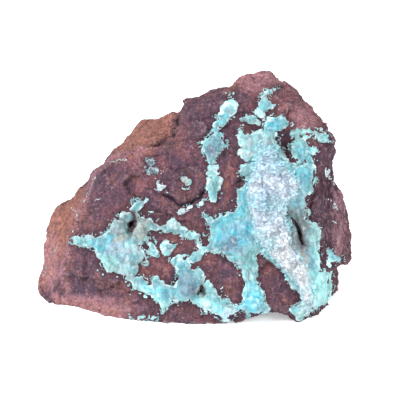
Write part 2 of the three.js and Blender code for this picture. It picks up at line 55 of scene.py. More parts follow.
noise.seed_set(25)  # the noise then comes out the same each time

# %% [markdown]
# ## Directions on the specimen
#
# The display face leans back 20 degrees. Positions on it are easier to give square to it: x across, y up
# the face and z out of it. One matrix turns those face positions into places in the room, and its
# inverse turns them back.

# %% The display face
LEAN = math.radians(20)
FACE_ORIGIN = Vector((-0.08, -9.04, 22.93))  # middle of the display face, mm
face_to_room = Matrix.Translation(FACE_ORIGIN) @ Matrix.Rotation(math.pi / 2 - LEAN, 4, "X")
room_to_face = face_to_room.inverted()
FACE_OUT = (face_to_room.to_3x3() @ Vector((0, 0, 1))).normalized()
print("the display face looks towards", [round(v, 2) for v in FACE_OUT])


def on_face(point):
    """A place in the room, in metres, as millimetres square to the display face."""
    return room_to_face @ (point / MM)


# %% [markdown]
# ## Camera
#
# A small specimen is best looked at from a little way off through a long lens. A wide lens close by would
# make its peak shrink away. The camera looks straight at the display face.

# %% Camera
LENS = 700  # mm
VIEW_WIDTH = 79.2  # mm of specimen across the picture
AIM = Vector((1.1, 0.2, -3))  # on the display face, mm

camera = bpy.data.objects.new("camera", bpy.data.cameras.new("camera"))
bpy.context.collection.objects.link(camera)
bpy.context.scene.camera = camera
camera.data.lens = LENS
distance = VIEW_WIDTH * LENS / camera.data.sensor_width
aim = face_to_room @ AIM * MM
camera.location = aim + FACE_OUT * distance * MM
camera.rotation_euler = FACE_OUT.to_track_quat("Z", "Y").to_euler()
camera.data.clip_start = 0.01
print("the camera is", round(distance), "mm from the display face")

# %% [markdown]
# ## Light
#
# Minerals are shown in a tent of white cloth, which fills the pits of a crust with light and keeps its
# colours true. A pale world all round does the same. By itself it would leave the relief flat, so a large
# soft lamp above on the left models it, and a weaker one on the right lightens the flank.

# %% Lights
WORLD_STRENGTH = 0.95

bpy.context.scene.view_settings.view_transform = "Standard"
world = bpy.data.worlds.new("light tent")
bpy.context.scene.world = world
world.use_nodes = True
world.node_tree.nodes["Background"].inputs["Color"].default_value = (1, 1, 1, 1)
world.node_tree.nodes["Background"].inputs["Strength"].default_value = WORLD_STRENGTH


def soft_lamp(name, direction, far, size, power):
    """A square lamp that shines on the specimen from a direction; far and size in mm, power in watts."""
    lamp = bpy.data.objects.new(name, bpy.data.lights.new(name, "AREA"))
    lamp.data.size = size * MM
    lamp.data.energy = power
    towards = Vector(direction).normalized()
    lamp.location = towards * far * MM + aim
    lamp.rotation_euler = towards.to_track_quat("Z", "Y").to_euler()
    bpy.context.collection.objects.link(lamp)
    print(f"{name}: {power} W, {far} mm away")


soft_lamp("key lamp", (-0.7, -0.45, 1.0), far=380, size=180, power=1.9)
soft_lamp("fill lamp", (0.9, -0.8, 0.5), far=420, size=260, power=0.9)

# %% [markdown]
# ## Floor
#
# The specimen stands on white paper. Paper inside a tent is lit from all sides and its shadows are weak,
# so here it glows a little by itself, which is simpler than more lamps.

# %% Floor
FLOOR_HALF = 1.5  # m
PAPER = (0.95, 0.95, 0.96, 1)
PAPER_GLOW = 0.4
PAPER_LOOKS = {
    "Base Color": PAPER, "Roughness": 0.9, "Emission Color": PAPER, "Emission Strength": PAPER_GLOW,
}

floor_mesh = bmesh.new()
bmesh.ops.create_grid(floor_mesh, x_segments=1, y_segments=1, size=FLOOR_HALF)
floor_data = bpy.data.meshes.new("floor")
floor_mesh.to_mesh(floor_data)
floor_mesh.free()
paper = bpy.data.materials.new("white paper")
paper.use_nodes = True
for socket, value in PAPER_LOOKS.items():
    paper.node_tree.nodes["Principled BSDF"].inputs[socket].default_value = value
floor_data.materials.append(paper)
floor = bpy.data.objects.new("floor", floor_data)
bpy.context.collection.objects.link(floor)
print("the floor is", 2 * FLOOR_HALF, "m wide")

# %% [markdown]
# ## Small moves
#
# The frame's solids are plain, so here and there an outline lies up to a millimetre beside that of the
# real specimen. Each nudge moves what lies near a place on the display face a little way across and up it,
# and fades out around it. A lattice could do the same, but a list of places is easier to read and correct.

# %% Small moves
ROCK = "gossan_matrix"
DRUSE = "calcite_druse"
ROCK_NUDGES = [  # x and y on the display face, how wide the nudge is, how far it goes across and up, mm
    (15, 25.6, 2.6, 0, 1), (19.6, 21.6, 2.8, 0.35, 0.4), (23.4, 18, 2.4, 0.3, 0.3), (-31, -10, 6, -0.6, 0),
    (28.6, 3, 3, -0.5, 0), (27.4, 12.6, 1.8, 0.4, 0), (29.8, -13.6, 1.8, -0.2, 0.8),
]
CRUST_NUDGES = [
    (-16, -8, 8, 0.4, 0.15), (0, -14, 8, 0, 0.15), (0, 0, 40, 0, 0.2), (27.9, -11.6, 1.4, 0.9, 0.7),
]


def flat_of(points):
    """Places in the room, in metres, as millimetres square to the display face."""
    return np.array([on_face(Vector(point)) for point in points])


def nudged(points, nudges):
    """The points moved across and up the display face where the nudges say so."""
    moved = np.array(points)
    flat = flat_of(points)
    for x, y, radius, across, up in nudges:
        share = np.exp(-((flat[:, 0] - x) ** 2 + (flat[:, 1] - y) ** 2) / radius**2)
        moved += share[:, None] * np.array(face_to_room.to_3x3() @ Vector((across, up, 0))) * MM
    return moved


def copy_of(*names):
    """Some of the frame's solids as one bmesh, the crusts nudged into place."""
    shape = bmesh.new()
    for name in names:
        shape.from_mesh(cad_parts[name].data)
        shape.verts.ensure_lookup_table()
        fresh = shape.verts[-len(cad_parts[name].data.vertices):]
        if name != ROCK:
            for vertex, place in zip(fresh, nudged([vertex.co for vertex in fresh], CRUST_NUDGES)):
                vertex.co = place
    return shape


print(len(ROCK_NUDGES), "nudges of the rock,", len(CRUST_NUDGES), "of the crusts")

# %% [markdown]
# ## Tools for meshes
#
# Nearly every piece goes the same way: copy the solid, weld it, remake it with small even faces (a voxel
# remesh), and move its points. Sculpting by hand would look as good, but a script can be run again.
# Moving points needs the mesh as arrays, which is what numpy is for.

# %% Remake a solid
WELD = 0.001  # mm


def remade(shape, voxel):
    """The outer skin of a bmesh as an even mesh of small faces; voxel in mm."""
    bmesh.ops.remove_doubles(shape, verts=shape.verts, dist=WELD * MM)
    rough = bpy.data.meshes.new("rough")
    shape.to_mesh(rough)
    shape.free()
    holder = bpy.data.objects.new("holder", rough)
    bpy.context.collection.objects.link(holder)
    remesh = holder.modifiers.new("remesh", "REMESH")
    remesh.mode = "VOXEL"
    remesh.voxel_size = voxel * MM
    even = bpy.data.meshes.new_from_object(holder.evaluated_get(bpy.context.evaluated_depsgraph_get()))
    bpy.data.objects.remove(holder)
    return even


# %% Points of a mesh
FLOOR_GAP = 0.05  # mm


def rows_of(items, what, width, kind=float):
    """One property of all points, normals or edges of a mesh, a row for each."""
    flat = np.empty(len(items) * width, dtype=kind)
    items.foreach_get(what, flat)
    return flat.reshape(-1, width)


def points_of(mesh):
    return rows_of(mesh.vertices, "co", 3)


def normals_of(mesh):
    return rows_of(mesh.vertex_normals, "vector", 3)


def put_points(mesh, points):
    mesh.vertices.foreach_set("co", points.ravel())
    mesh.update()


def above_floor(mesh):
    """Lifts the lowest points of a mesh just clear of the floor."""
    points = points_of(mesh)
    points[:, 2] = np.maximum(points[:, 2], FLOOR_GAP * MM)
    put_points(mesh, points)


def put_attribute(mesh, name, values):
    """Gives each point of a mesh a number, under a name that its material can read."""
    values = np.asarray(values, dtype=np.float32)
    mesh.attributes.new(name, "FLOAT", "POINT").data.foreach_set("value", values)


# %% Relief of a mesh
def edges_of(mesh):
    return rows_of(mesh.edges, "vertices", 2, np.int64)


def relaxed(values, edges, rounds):
    """Values at the points of a mesh, averaged with their neighbours a number of times."""
    values = values.reshape(len(values), -1)
    count = np.bincount(edges.ravel(), minlength=len(values))[:, None]
    for _ in range(rounds):
        total = np.zeros_like(values)
        for column in range(values.shape[1]):
            total[:, column] = np.bincount(edges[:, 0], values[edges[:, 1], column], len(values))
            total[:, column] += np.bincount(edges[:, 1], values[edges[:, 0], column], len(values))
        values = (values + total / count) / 2
    return values


def relief_of(mesh, rounds, height):
    """How far each point stands out of its surroundings: 0 in a pit, 0.5 on the level, 1 on a crest."""
    points = points_of(mesh)
    stands = ((points - relaxed(points, edges_of(mesh), rounds)) * normals_of(mesh)).sum(axis=1)
    return np.clip(0.5 + stands / (height * MM) / 2, 0, 1)


# %% Finish a piece
def finished(name, mesh, material, node, smooth=True):
    """The finished piece, which stands for a solid of the frame and moves with the specimen."""
    mesh.materials.clear()
    mesh.materials.append(material)
    mesh.polygons.foreach_set("use_smooth", np.full(len(mesh.polygons), smooth))
    piece = bpy.data.objects.new(name, mesh)
    bpy.context.collection.objects.link(piece)
    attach(piece, "root")
    if node:
        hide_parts(node)
    mesh.calc_loop_triangles()
    print(f"{name}: {len(mesh.loop_triangles)} triangles")


# %% Measures for carving
def smoothstep(low, high, value):
    """0 below low, 1 above high, and a smooth slope from one to the other."""
    share = np.clip((value - low) / (high - low), 0, 1)
    return share * share * (3 - 2 * share)


def sampled(points, measure):
    """What a measure says at many points: the points are in metres, the measure takes millimetres."""
    return np.array([measure(Vector(point)) for point in points / MM])


def domes(place, size):
    """Height of a botryoidal (grape-like) skin: 1 on top of each ball, down to 0 between the balls."""
    near = noise.voronoi(place / size)[0][0]
    return math.sqrt(max(0.0, 1 - near * near))


def chips(place, size):
    """Height, in mm, of a broken skin: each cell is a small flat plane with its own tilt."""
    centre = noise.voronoi(place / size)[1][0] * size
    lean = noise.noise_vector(centre * 3.7)
    return lean.dot(place - centre)


# %% [markdown]
# ## Colour zones
#
# Rock and crust change colour over the specimen where iron or copper was richer. Some zones instead carry
# painted shade in hollows or painted light on lit faces. Each zone is a soft ellipse on the display face
# with its edge broken up by noise. The piece keeps how deep each point lies in a zone as an attribute, and
# its material mixes colours by it.

# %% Zones
ZONE_LUMPS = 3  # mm across
ZONE_RAGGED = 0.35  # how far the noise moves a zone's edge, as a share of its size
ZONE_EDGE = (0.6, 1.15)  # the zone fades out between these shares of its size


def zone(points, ellipses):
    """How far each point lies in a group of ellipses (x, y, half width, half height, turn), from 0 to 1."""
    inside = np.zeros(len(points))
    flat = flat_of(points)
    wobble = sampled(points, lambda place: noise.fractal(place / ZONE_LUMPS, 1.0, 2.0, 3)) * ZONE_RAGGED
    for x, y, wide, high, turn in ellipses:
        turn = math.radians(turn)
        across, up = flat[:, 0] - x, flat[:, 1] - y
        along = (across * math.cos(turn) + up * math.sin(turn)) / wide
        aside = (up * math.cos(turn) - across * math.sin(turn)) / high
        reach = np.sqrt(along**2 + aside**2) + wobble
        inside = np.maximum(inside, 1 - smoothstep(*ZONE_EDGE, reach))
    return inside


# %% [markdown]
# ## Tools for materials
#
# A material is a network of nodes. Writing each node out takes many lines, so a wire between nodes is
# wrapped in a small class: a sum or product of wires adds the Math nodes by itself.

# %% Wires
class Wire:
    """A number that runs through a material. Python's operators on it add Math nodes."""

    def __init__(self, finish, socket):
        self.finish, self.socket = finish, socket

    def math(self, operation, left, right):
        return self.finish.node("ShaderNodeMath", {"operation": operation}, {0: left, 1: right})

    def __add__(self, other):
        return self.math("ADD", self, other)

    def __sub__(self, other):
        return self.math("SUBTRACT", self, other)

    def __rsub__(self, other):
        return self.math("SUBTRACT", other, self)

    def __mul__(self, other):
        return self.math("MULTIPLY", self, other)

    __radd__ = __add__
    __rmul__ = __mul__

    def between(self, low, high):
        """0 below low, 1 above high, and a smooth slope from one to the other."""
        sockets = {"Value": self, "From Min": low, "From Max": high}
        return self.finish.node("ShaderNodeMapRange", {"interpolation_type": "SMOOTHSTEP"}, sockets)


# %% Finishes
class Finish:
    """A material in the making, on one Principled shader."""

    def __init__(self, name, constants):
        self.material = bpy.data.materials.new(name)
        self.material.use_nodes = True
        self.tree = self.material.node_tree
        self.shader = self.tree.nodes["Principled BSDF"]
        for socket, value in constants.items():
            self.shader.inputs[socket].default_value = value
        sockets = {"Vector": self.node("ShaderNodeTexCoord", output="Object"), "Scale": (1 / MM,) * 3}
        self.place = self.node("ShaderNodeMapping", {}, sockets)  # in mm

    def node(self, kind, settings=None, sockets=None, output=0):
        """Any node: its settings first, then the values or wires of its sockets."""
        made = self.tree.nodes.new(kind)
        for setting, value in (settings or {}).items():
            setattr(made, setting, value)
        for socket, value in (sockets or {}).items():
            self.plug(made.inputs[socket], value)
        return Wire(self, made.outputs[output])

    def plug(self, socket, value):
        """Gives a socket a value, or a wire to it."""
        if isinstance(value, Wire):
            self.tree.links.new(value.socket, socket)
        else:
            socket.default_value = value

    def noise(self, size, detail=3, roughness=0.55, stretch=(1, 1, 1)):
        """Soft noise with lumps of a size in mm, from 0 to 1."""
        place = self.place
        if stretch != (1, 1, 1):
            place = self.node("ShaderNodeMapping", {}, {"Vector": place, "Scale": stretch})
        sockets = {"Vector": place, "Scale": 1 / size, "Detail": detail, "Roughness": roughness}
        return self.node("ShaderNodeTexNoise", {}, sockets)

    def attribute(self, name):
        """What the points of a mesh say under a name."""
        return self.node("ShaderNodeAttribute", {"attribute_name": name}, output="Fac")

    def mix(self, base, over, share):
        """One colour laid over another by a share from 0 to 1."""
        settings = {"data_type": "RGBA", "clamp_factor": True}
        return self.node("ShaderNodeMix", settings, {0: share, 6: base, 7: over}, output=2)

    def layered(self, base, layers):
        """A base colour with others laid over it in turn, each by its share."""
        for over, share in layers:
            base = self.mix(base, over, share)
        return base

    def shade(self, colour, strength):
        """A colour made brighter or darker: a strength of 1 leaves it alone."""
        grey = self.node("ShaderNodeCombineColor", {}, {0: strength, 1: strength, 2: strength})
        settings = {"data_type": "RGBA", "blend_type": "MULTIPLY"}
        return self.node("ShaderNodeMix", settings, {0: 1.0, 6: colour, 7: grey}, output=2)

    def bump(self, height, depth):
        """A fine relief of a depth in mm, from a height that runs from 0 to 1."""
        return self.node("ShaderNodeBump", {}, {"Height": height, "Distance": depth * MM, "Strength": 1.0})

    def wear(self, **sockets):
        """Plugs what varies over the surface into the shader."""
        for name, value in sockets.items():
            self.plug(self.shader.inputs[name.replace("_", " ")], value)
        return self.material


# %% Colours in the lamplight
LAMPLIGHT = 1.6  # how brightly the lamps light a surface that faces them


def colour(red, green, blue):
    """A colour as it looks in the lamplight, on the usual scale of 0 to 255, as Blender's linear light."""
    linear = [value / 12.92 if value <= 0.04045 else ((value + 0.055) / 1.055) ** 2.4
              for value in (red / 255, green / 255, blue / 255)]
    return (*[value / LAMPLIGHT for value in linear], 1)


# %% [markdown]
# ## The gossan matrix
#
# Gossan is a hard sponge of iron oxides: purple-brown haematite, with rusty yellow goethite on weathered
# faces. It breaks into hackly chips a few millimetres wide, with a sugary grain on every face. The chips
# are real relief, since they show in the outline. The grain is far finer than a face of the mesh, so it
# is left to the material's bump.

# %% Cracks
CRACK_WIDTH = 0.34  # mm
CRACK_STRAYS = 0.7  # mm to either side
STRAY_LENGTH = 1.5  # mm along the crack
FACE_DEPTH = 9  # mm behind the display face, past which nothing is carved into it
CRACKS = {  # points along each crack on the display face, and its depth, in mm
    "slab foot": ([(-6, 1.2), (-4.4, 0), (-2.2, -0.8), (0.6, 0.6), (2.2, 2.6)], 0.9),
    "slab side": ([(2.2, 2.6), (3.2, 5), (2.4, 7.4)], 0.5),
    "ledge": ([(-9.2, 11), (-7.6, 11.2), (-5.8, 12.2), (-4.8, 13.2)], 1.3),
    "block edge": ([(-4.4, 13.4), (-3.8, 15), (-3.6, 17)], 0.7),
    "right flank": ([(24.2, 5), (23.8, 1), (22.6, -2), (23.4, -6), (25, -10)], 0.7),
    "lower left": ([(-22, -15.5), (-17, -17), (-12, -18.4), (-8, -19.2)], 0.35),
}


def along(place, line):
    """Distance in mm, across the display face, from a place to a line of points."""
    spot = place.to_2d()
    gaps = []
    for start, end in zip(line, line[1:]):
        start, end = Vector(start), Vector(end)
        share = (spot - start).dot(end - start) / (end - start).length_squared
        gaps.append((spot - start.lerp(end, min(max(share, 0), 1))).length)
    return min(gaps)


def crack_depth(place):
    """How deep the cracks are at a place in the room, in mm."""
    spot = room_to_face @ place
    if spot.z < -FACE_DEPTH:
        return 0.0
    spot += noise.noise_vector(place / STRAY_LENGTH) * CRACK_STRAYS
    return sum(depth * math.exp(-((along(spot, line) / CRACK_WIDTH) ** 2)) for line, depth in CRACKS.values())


print(len(CRACKS), "cracks, the deepest", max(depth for _, depth in CRACKS.values()), "mm")

# %% Chips and ribs
CHIP_SIZES = {6.5: 0.24, 2.4: 0.22}  # width of the chips in mm: how steeply they tilt
CHIP_BEND = 0.9  # mm that the edge of a chip strays from a straight line
BEND_LENGTH = 2.2  # mm
ROCK_GRIT = 0.22  # mm high
GRIT_SIZE = 1.6  # mm
RIB_HEIGHT = 0.5  # mm
RIB_WIDTH = 1.1  # mm
RIB_STRETCH = 7  # how many times longer than wide
RIBS_FROM, RIBS_FULL = 22, 25  # mm across the display face


def ribs(place):
    """Height, in mm, of the long ribs that run down the right flank."""
    spot = room_to_face @ place
    share = min(max((spot.x - RIBS_FROM) / (RIBS_FULL - RIBS_FROM), 0), 1)
    drawn_out = Vector((spot.x, spot.y / RIB_STRETCH, spot.z)) / RIB_WIDTH
    return share * RIB_HEIGHT * noise.fractal(drawn_out, 0.6, 2.1, 3)


def rock_height(place):
    """How far the broken skin stands out of the smooth solid, in mm."""
    bent = place + noise.noise_vector(place / BEND_LENGTH) * CHIP_BEND
    height = sum(chips(bent, size) * tilt for size, tilt in CHIP_SIZES.items())
    return height + noise.fractal(place / GRIT_SIZE, 0.6, 2.1, 5) * ROCK_GRIT + ribs(place)


# %% Rock shape
ROCK_VOXEL = 0.36  # mm

rock_mesh = remade(copy_of(ROCK), ROCK_VOXEL)
rock_points = nudged(points_of(rock_mesh), ROCK_NUDGES)
depths = sampled(rock_points, crack_depth)
heights = sampled(rock_points, rock_height) - depths
rock_points += normals_of(rock_mesh) * heights[:, None] * MM
rock_points[:, 2] = np.maximum(rock_points[:, 2], 0)
put_points(rock_mesh, rock_points)
print("the rock's skin stands from", round(heights.min(), 2), "to", round(heights.max(), 2), "mm")

# %% [markdown]
# ## How the pieces lie to each other
#
# The rock is darkened with painted shade beside a crust, where the crust's edge shades it, and the crusts
# are fitted to the rock later on. Both need the nearest point of another piece, which a search tree finds
# quickly.

# %% Search trees
def tree_in(shape):
    """A search tree of a bmesh, in millimetres square to the display face."""
    flat = shape.copy()
    bmesh.ops.transform(flat, matrix=room_to_face @ Matrix.Scale(1 / MM, 4), verts=flat.verts)
    tree = BVHTree.FromBMesh(flat)
    flat.free()
    return tree


def tree_of(*names):
    """A search tree of some of the frame's solids."""
    shape = copy_of(*names)
    tree = tree_in(shape)
    shape.free()
    return tree


CRUSTS = [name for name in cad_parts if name.startswith("rosasite")]
crust_tree = tree_of(*CRUSTS, DRUSE)
rock_flat = flat_of(rock_points)
rock_tree = BVHTree.FromPolygons(rock_flat.tolist(), [tuple(face.vertices) for face in rock_mesh.polygons])
print(len(CRUSTS), "crusts lie on the rock")

# %% [markdown]
# ## The colours of the gossan
#
# The ochre faces, the red and purple planes and the bruised pink edges are stains, not relief, so they are
# zones of colour; the pink zone is also made brighter, a painted light on the lit edges and the peak, and a
# shade zone paints shade into a few hollows. Cracks and the seams round the crusts are darkened with painted
# shade, and the ridges are worn pale. Painting would need an image texture, while zones and distances follow
# the shape by themselves.

# %% Rock zones
RIDGES = [
    [(-10, 10.4), (-16.6, 8.6), (-19.8, 6), (-22.8, -2.4), (-26.4, -14), (-25.4, -18)],
    [(-10.4, 5.6), (-11, 9.8)], [(29, 2), (29.6, -6), (28, -12)],
]
RIDGE_DEPTH = 12  # mm behind the display face
FAR_OFF = 9  # mm, for what lies deeper than that
CRUST_SHADE_REACH = (0.3, 1.6)  # mm from a crust, over which the painted shade beside it fades
CRACK_SHADE = (0.15, 0.8)  # mm deep, over which a crack gets its painted shade
RIDGE_WORN = (0.2, 1.1)  # mm from a ridge, over which its wear fades
ROCK_ZONES = {
    "ochre": [(-10, 13.2, 7.5, 4.2, 28), (-27, -6.5, 3.4, 13, -24), (-19, -21.6, 9, 1.5, -12)],
    "red": [
        (14, 22.5, 7, 4, -30), (21, 16, 6, 3.5, -25), (6.6, 4, 0.9, 5, -5), (-8, -13, 4, 3, 0),
        (-4, -8.5, 4, 2, 20),
    ],
    "purple": [
        (2.5, 17, 5, 6.5, 20), (-17, 3, 6.5, 5, 30), (-20, -11, 4, 3, -35), (5.6, 6, 1.4, 8, -5),
        (28, 0, 4, 12, 0),
    ],
    "blush_and_light": [
        (-28.8, -12, 2.2, 6, 0), (-18, -21.4, 10, 2.6, -12), (13.4, 23.4, 6, 3, -20),
        (21.5, 15.6, 5, 3, -35), (29, -3, 2, 9, 0),
    ],
    "shade": [
        (11.5, 14.7, 2.3, 0.9, 0), (17.6, 12.2, 1.7, 1.3, 30), (19, 8.5, 1.2, 1.8, 0),
        (23.5, 8.2, 1.4, 1, 0), (26.2, 4, 2, 4.5, 0), (-6.4, 11.8, 1.8, 0.6, 35),
    ],
    "flank": [(28.5, -3, 4.5, 15, -6)],
}

nearest = np.array([crust_tree.find_nearest(Vector(point))[3] for point in rock_flat])
to_ridge = np.array([
    min(along(Vector(point), ridge) for ridge in RIDGES) if point[2] > -RIDGE_DEPTH else FAR_OFF
    for point in rock_flat])
# painted shade on the rock beside a crust, where the crust's edge shades it
put_attribute(rock_mesh, "crust_shade", 1 - smoothstep(*CRUST_SHADE_REACH, nearest))
# painted shade in the cracks: the deeper the crack, the darker
put_attribute(rock_mesh, "cracks", smoothstep(*CRACK_SHADE, depths))
put_attribute(rock_mesh, "relief", relief_of(rock_mesh, rounds=12, height=0.5))
put_attribute(rock_mesh, "worn", 1 - smoothstep(*RIDGE_WORN, to_ridge))
for name, ellipses in ROCK_ZONES.items():
    put_attribute(rock_mesh, name, zone(rock_points, ellipses))
print("share of the rock close to a crust:", round(float((nearest < 1).mean()), 2))

# %% [markdown]
# ## The finish of the gossan
#
# Dry iron oxide is matt and sugary: near by it is a mix of brown, purple and brick grains with specks of
# dust. The crests get a painted highlight and the pits, cracks and seams painted shade. Each colour is laid
# over the last by a share made of noise, zones and relief, as a painter glazes, and the same noise drives
# the bump, so light and colour agree.

# %% Rock colours
BROWN = colour(114, 80, 90)
DARK_PURPLE = colour(100, 76, 98)
BRICK = colour(150, 94, 102)
RUST = colour(188, 126, 108)
DARK_GRAIN_AND_SHADE = colour(52, 34, 50)
MAROON = colour(84, 50, 64)
DUST_AND_HIGHLIGHT = colour(188, 160, 168)
PINK = colour(182, 132, 142)

# %% Rock finish
gossan = Finish("gossan", {"Roughness": 0.85, "Specular IOR Level": 0.3})
grain = gossan.noise(0.9, detail=5, roughness=0.75).between(0.36, 0.64)
sugar = gossan.noise(0.45, detail=3, roughness=0.7).between(0.34, 0.66)
strands = gossan.noise(0.8, detail=4, roughness=0.7, stretch=(1, 1, 0.35)).between(0.38, 0.62)
clots = gossan.noise(3, detail=5, roughness=0.7)
patches = gossan.noise(9, detail=5, roughness=0.65)
relief = gossan.attribute("relief")

ochre, red, purple, blush_and_light, shaded, flank = (gossan.attribute(name) for name in ROCK_ZONES)
crust_shade, cracks, worn = (gossan.attribute(name) for name in ("crust_shade", "cracks", "worn"))

rusty = ochre * (0.5 + grain * 0.3 + clots * 0.4) + gossan.noise(4, detail=5).between(0.52, 0.66) * 0.35
# painted shade in the pits and cracks, mixed with darker random grains
dark = (1 - relief).between(0.6, 0.95) * 0.5 + (1 - grain).between(0.5, 1.0) * 0.5 + cracks * 0.7
skin = gossan.layered(BROWN, [
    (DARK_PURPLE, clots.between(0.44, 0.58)),
    (BRICK, patches.between(0.5, 0.62) * 0.6 + red * clots.between(0.34, 0.56) * 0.9),
    (DARK_PURPLE, purple * 0.7),
    (RUST, rusty + red * strands.between(0.45, 0.9) * 0.7),
    (PINK, blush_and_light * (0.35 + strands * 0.55) + worn * (0.45 + grain * 0.55)),
    (BRICK, strands.between(0.5, 1.0) * 0.4),
    # painted highlight on the crests, with specks of pale dust
    (DUST_AND_HIGHLIGHT, relief.between(0.6, 0.95) * 0.5 + sugar.between(0.8, 1.0) * grain * 0.25),
    # painted shade: the pits, the cracks and the rock beside the crusts are darkened
    (DARK_GRAIN_AND_SHADE, dark + crust_shade * clots.between(0.4, 0.6) * 0.15),
    (MAROON, crust_shade * 0.6),
    (MAROON, shaded * 0.7 + flank * (1 - strands) * 0.4),
    (DUST_AND_HIGHLIGHT, flank * strands.between(0.5, 1.0) * 0.3),
])
# the blush zone is also brightened: painted light on the lit edges and the peak
skin = gossan.shade(skin, 0.7 + sugar * 0.32 + strands * 0.28 + blush_and_light * 0.22 - purple * 0.06)
grit = gossan.bump(grain * 0.5 + sugar * 0.3 + strands * 0.35, 0.28)
gossan_material = gossan.wear(Base_Color=skin, Roughness=0.72 + grain * 0.2, Normal=grit)

finished("gossan", rock_mesh, gossan_material, ROCK)

# %% [markdown]
# ## The rosasite crusts
#
# Rosasite grows as tiny balls of radiating needles that run together into velvety crusts with lacy,
# crumbling rims. The frame's solids are flat-topped islands with straight-cut edges. Each is thickened
# down into the rock and remade as one skin. Its rim is then spread a little and let down into the rock
# unevenly, which leaves lace where noise keeps it up, and balls of three sizes are pushed out of it. A
# displacement modifier could push the balls out, but it couldn't let a rim down to what lies under it.

# %% The outline of a crust
RIM_PITCH = 0.25  # mm
IN_FRONT = 60  # mm, clear of the whole specimen


def front_of(tree, x, y):
    """The first point of some solids that is met from in front of the display face."""
    return tree.ray_cast(Vector((x, y, IN_FRONT)), Vector((0, 0, -1)))[0]


def rim_of(tree, flat):
    """A search tree of the rim that some solids show to the front, and the spots along it."""
    left, bottom = flat[:, :2].min(axis=0) - 1
    across, up = (np.ceil((flat[:, :2].max(axis=0) + 1 - (left, bottom)) / RIM_PITCH)).astype(int)
    covered = np.array([[front_of(tree, left + i * RIM_PITCH, bottom + j * RIM_PITCH) is not None
                         for j in range(up)] for i in range(across)])
    edge = np.zeros_like(covered)
    edge[1:] |= covered[1:] != covered[:-1]
    edge[:, 1:] |= covered[:, 1:] != covered[:, :-1]
    spots = [(left + (i - 0.5) * RIM_PITCH, bottom + (j - 0.5) * RIM_PITCH) for i, j in np.argwhere(edge)]
    rim = KDTree(len(spots))
    for index, (x, y) in enumerate(spots):
        rim.insert((x, y, 0), index)
    rim.balance()
    return rim, spots


def inward(rim, tree, spot):
    """How far inside its rim a place lies, in mm: less than nothing outside it."""
    gap = rim.find((spot.x, spot.y, 0))[2]
    return gap if front_of(tree, spot.x, spot.y) is not None else -gap


# %% [markdown]
# ## Buds and bites
#
# A crust grows by buds, and weather bites pieces out of its rim. Each bud is a ball that is joined to the
# solid before it is remade, so the skin runs over both without a seam. A bite isn't cut out: it lowers
# the rim's height at a place, and the rim then sinks into the rock there as it does elsewhere.

# %% Buds
ROOT_DEPTH = 0.7  # mm
BUD_REACH = 0.5  # mm
BUDS = [  # x and y on the display face, how far the ball stands out, and its radius, mm
    (-14.9, -5, 0.4, 1.6), (-10.8, -5.7, 0.5, 1.6), (-13.6, -4.4, -0.1, 0.7), (-13.3, -6.2, -0.2, 0.8),
    (0.5, -16.7, -0.2, 0.6), (2.2, -18.9, -0.2, 0.6), (22.2, -5, 0, 1.2), (22.3, -7.6, 0, 1.1),
    (21.4, -2.8, -0.1, 1.2), (5.8, 11.4, 0.1, 0.9), (26, -18.6, 0.1, 1.2), (19.9, -7.4, -0.3, 0.9),
    (20, -5.2, -0.2, 0.8), (20.1, -6.4, -0.3, 0.8), (20.4, -8.4, -0.2, 0.8), (20.8, -4.8, -0.9, 0.9),
    (20.8, -6.4, -1.1, 1), (21.2, -8, -0.9, 1), (22, -2.2, 0.1, 0.9), (16.2, 12.4, 0.2, 0.7),
    (18.6, 13.1, 0.2, 0.7), (19.6, 13.3, 0.1, 0.6), (20.6, 13.8, 0.1, 0.5), (21.7, 13.6, 0.1, 0.6),
    (22.9, 14, 0.1, 0.5), (24, 13.9, 0.1, 0.6), (25.2, 14.1, 0.1, 0.5), (26.2, 13.4, 0.1, 0.7),
    (27, 12.2, 0.1, 0.6), (17.4, 12.6, 0.1, 0.6), (19.2, 10.8, 0.2, 0.6), (19.6, 8.7, 0.2, 0.6),
    (22.8, 8.2, 0.2, 0.9), (9.6, 13.6, 0.3, 0.8), (-8.4, -8, 0.2, 0.8), (-9.8, -11.9, 0.2, 0.8),
    (-10.9, -15.1, 0.2, 0.7), (2.2, -21.4, 0.3, 0.9), (4, -22.3, 0.3, 0.7), (6.6, -19.9, 0.3, 0.7),
    (11, -22.7, 0.3, 0.7), (14, -22.4, 0.3, 0.7), (10.6, -14, 0.3, 0.8), (9, -13.1, 0.3, 0.6),
    (26.8, -14.8, 0.2, 1), (25.8, -14.2, 0.2, 0.9), (27.2, -17, 0.1, 0.8), (20, -21, 0.3, 0.7),
]


def rooted(name, buds):
    """A solid of the frame, thickened backwards into what carries it, with the buds that touch it."""
    shape = copy_of(name)
    roots = bmesh.ops.duplicate(shape, geom=shape.verts[:] + shape.edges[:] + shape.faces[:])
    below = [piece for piece in roots["geom"] if isinstance(piece, bmesh.types.BMVert)]
    bmesh.ops.translate(shape, vec=-FACE_OUT * ROOT_DEPTH * MM, verts=below)
    tree = tree_of(name)
    for x, y, out, radius in buds:
        near = tree.find_nearest(front_of(rock_tree, x, y) or Vector((x, y, 0)))
        if near[3] < radius + BUD_REACH:
            spot = Vector((x, y, near[0].z + out - radius))
            place = Matrix.Translation(face_to_room @ spot * MM)
            bmesh.ops.create_icosphere(shape, subdivisions=3, radius=radius * MM, matrix=place)
    return shape


print(len(BUDS), "buds, of", min(bud[3] for bud in BUDS), "to", max(bud[3] for bud in BUDS), "mm")

